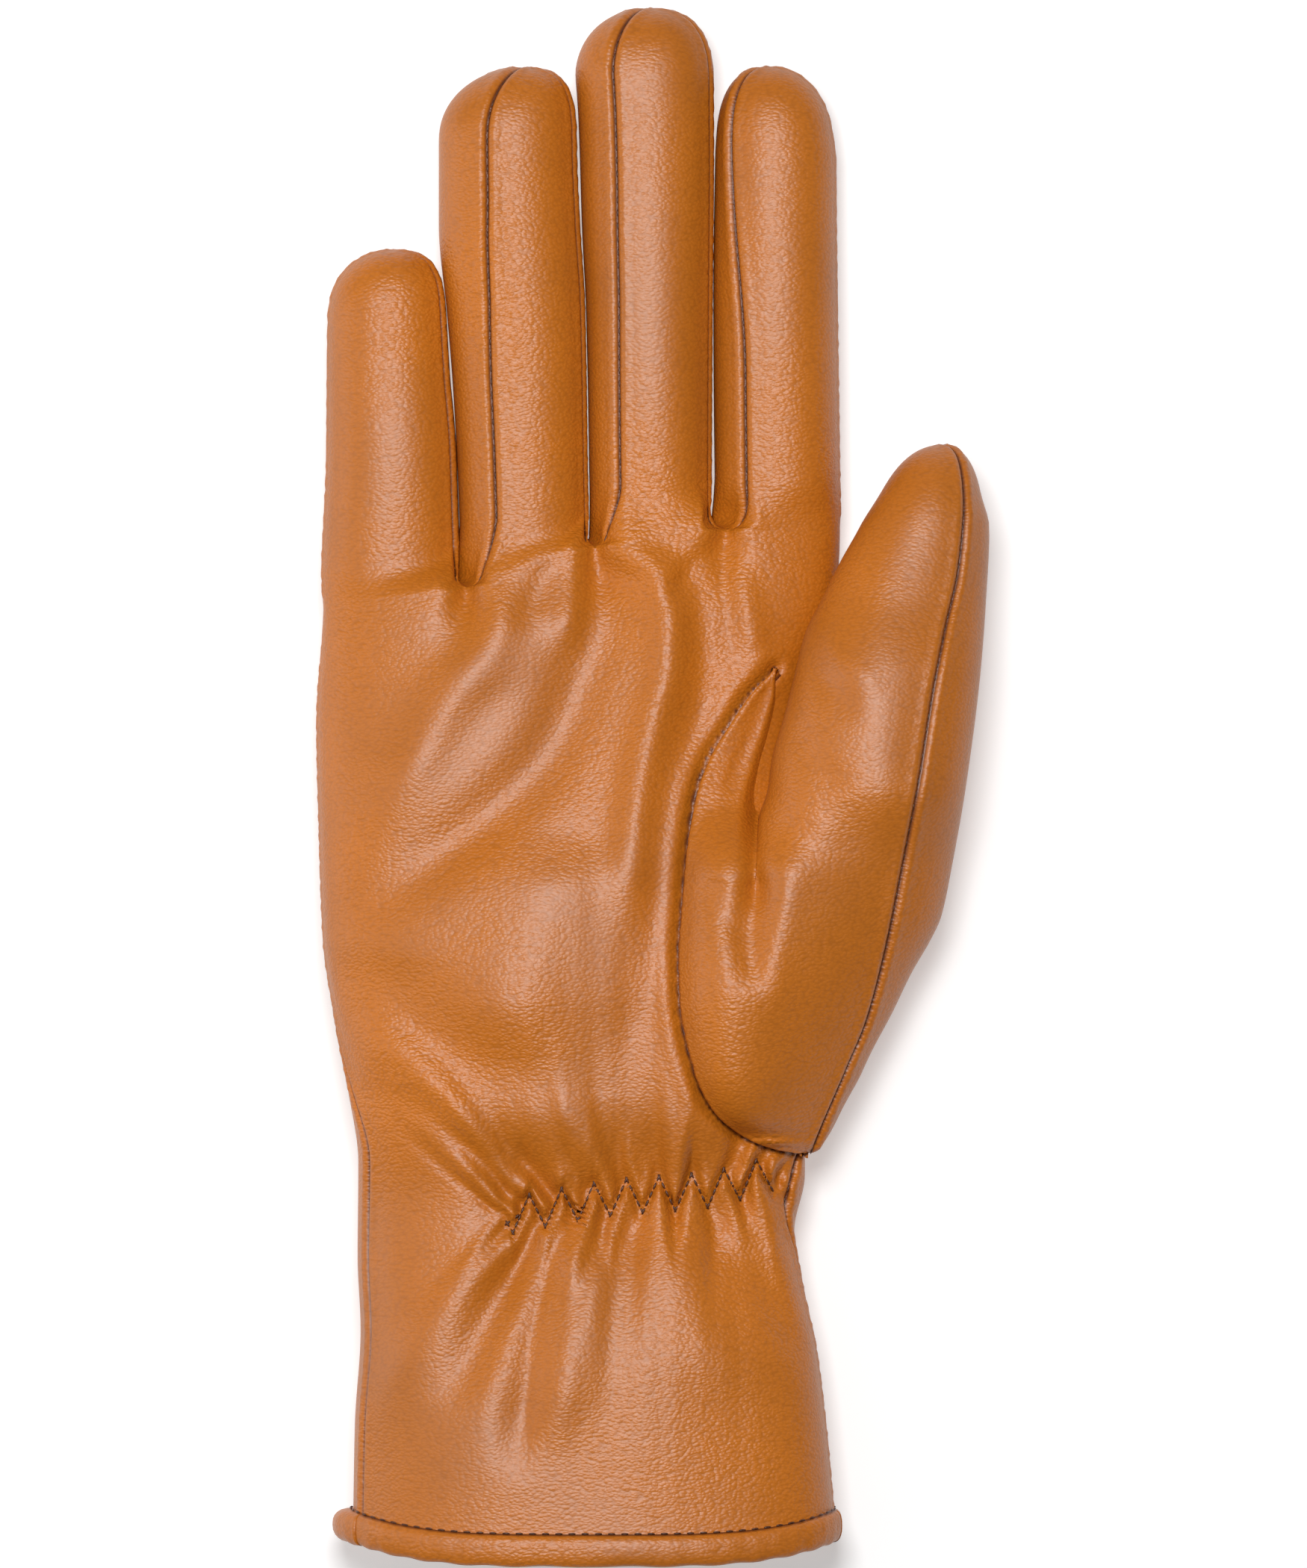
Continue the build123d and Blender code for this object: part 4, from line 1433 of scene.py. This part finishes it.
class GLOVE_OT_stage(bpy.types.Operator):
    """Sets the pale floor, the soft studio lights and the camera"""

    bl_idname = "glove.stage"
    bl_label = "Stage"

    def execute(self, context):
        scene = context.scene
        mesh = bpy.data.meshes.new("floor")
        reach = 3.0
        mesh.from_pydata([(-reach, -reach, 0), (reach, -reach, 0), (reach, reach, 0),
                          (-reach, reach, 0)], [], [(0, 1, 2, 3)])
        floor = put("floor", mesh)
        floor.location.z = -0.0004
        tree, shader = new_finish("floor_paint")
        feed(tree, shader, {
            "Base Color": (0.62, 0.62, 0.62, 1), "Roughness": 0.9,
            "Emission Color": (1, 1, 1, 1), "Emission Strength": 0.45})
        mesh.materials.append(bpy.data.materials["floor_paint"])

        world = bpy.data.worlds.new("studio")
        scene.world = world
        world.use_nodes = True
        feed(world.node_tree, world.node_tree.nodes["Background"],
             {"Color": (1, 1, 1, 1), "Strength": 0.06})
        scene.view_settings.view_transform = "Standard"
        for name, place, target, width, depth, watts in (
                ("key", (-0.04, 0.20, 1.02), (0, 0, 0), 0.26, 0.26, 9.4),
                ("fill", (-0.50, 0.10, 1.00), (0, 0, 0), 0.9, 0.9, 1.5),
                ("left_strip", (-0.75, 0.05, 0.10), (0, 0, 0.02), 0.16, 0.9, 2.2)):
            lamp = bpy.data.lights.new(name, "AREA")
            lamp.shape = "RECTANGLE"
            lamp.size, lamp.size_y = width, depth
            lamp.energy = watts
            holder = put(name, lamp)
            holder.location = place
            aim = Vector(target) - Vector(place)
            holder.rotation_euler = aim.to_track_quat("-Z", "Y").to_euler()

        lens = bpy.data.cameras.new("camera")
        lens.sensor_fit = "VERTICAL"
        lens.sensor_height = 36.0
        far, level, view_height = 2.5, 0.013, 0.25253
        lens.lens = lens.sensor_height * (far - level) / view_height
        lens.clip_start, lens.clip_end = 0.05, 20
        camera = put("camera", lens)
        camera.location = (0.00012, -0.00006, far)
        scene.camera = camera
        return {"FINISHED"}


class GLOVE_PT_panel(bpy.types.Panel):
    """Lists the steps that sew the glove"""

    bl_idname = "GLOVE_PT_panel"
    bl_label = "Glove"
    bl_space_type = "VIEW_3D"
    bl_region_type = "UI"
    bl_category = "Glove"

    def draw(self, context):
        layout = self.layout
        for group in (context.scene.glove_looks, context.scene.glove_sizes):
            for name in group.bl_rna.properties.keys():
                if name not in ("rna_type", "name"):
                    layout.prop(group, name)
        for step in STEPS:
            layout.operator(step.bl_idname)


STEPS = (
    GLOVE_OT_stage, GLOVE_OT_finishes, GLOVE_OT_hand, GLOVE_OT_fingers, GLOVE_OT_thumb,
    GLOVE_OT_hem, GLOVE_OT_wrist, GLOVE_OT_linings, GLOVE_OT_pads, GLOVE_OT_stitches)
CLASSES = (GloveLooks, GloveSizes) + STEPS + (GLOVE_PT_panel,)


def register():
    for item in CLASSES:
        bpy.utils.register_class(item)
    bpy.types.Scene.glove_looks = PointerProperty(type=GloveLooks)
    bpy.types.Scene.glove_sizes = PointerProperty(type=GloveSizes)


def unregister():
    del bpy.types.Scene.glove_looks
    del bpy.types.Scene.glove_sizes
    for item in reversed(CLASSES):
        bpy.utils.unregister_class(item)


def main():
    register()
    for step in STEPS:
        getattr(bpy.ops.glove, step.bl_idname.split(".")[1])()


if __name__ == "__main__":
    main()
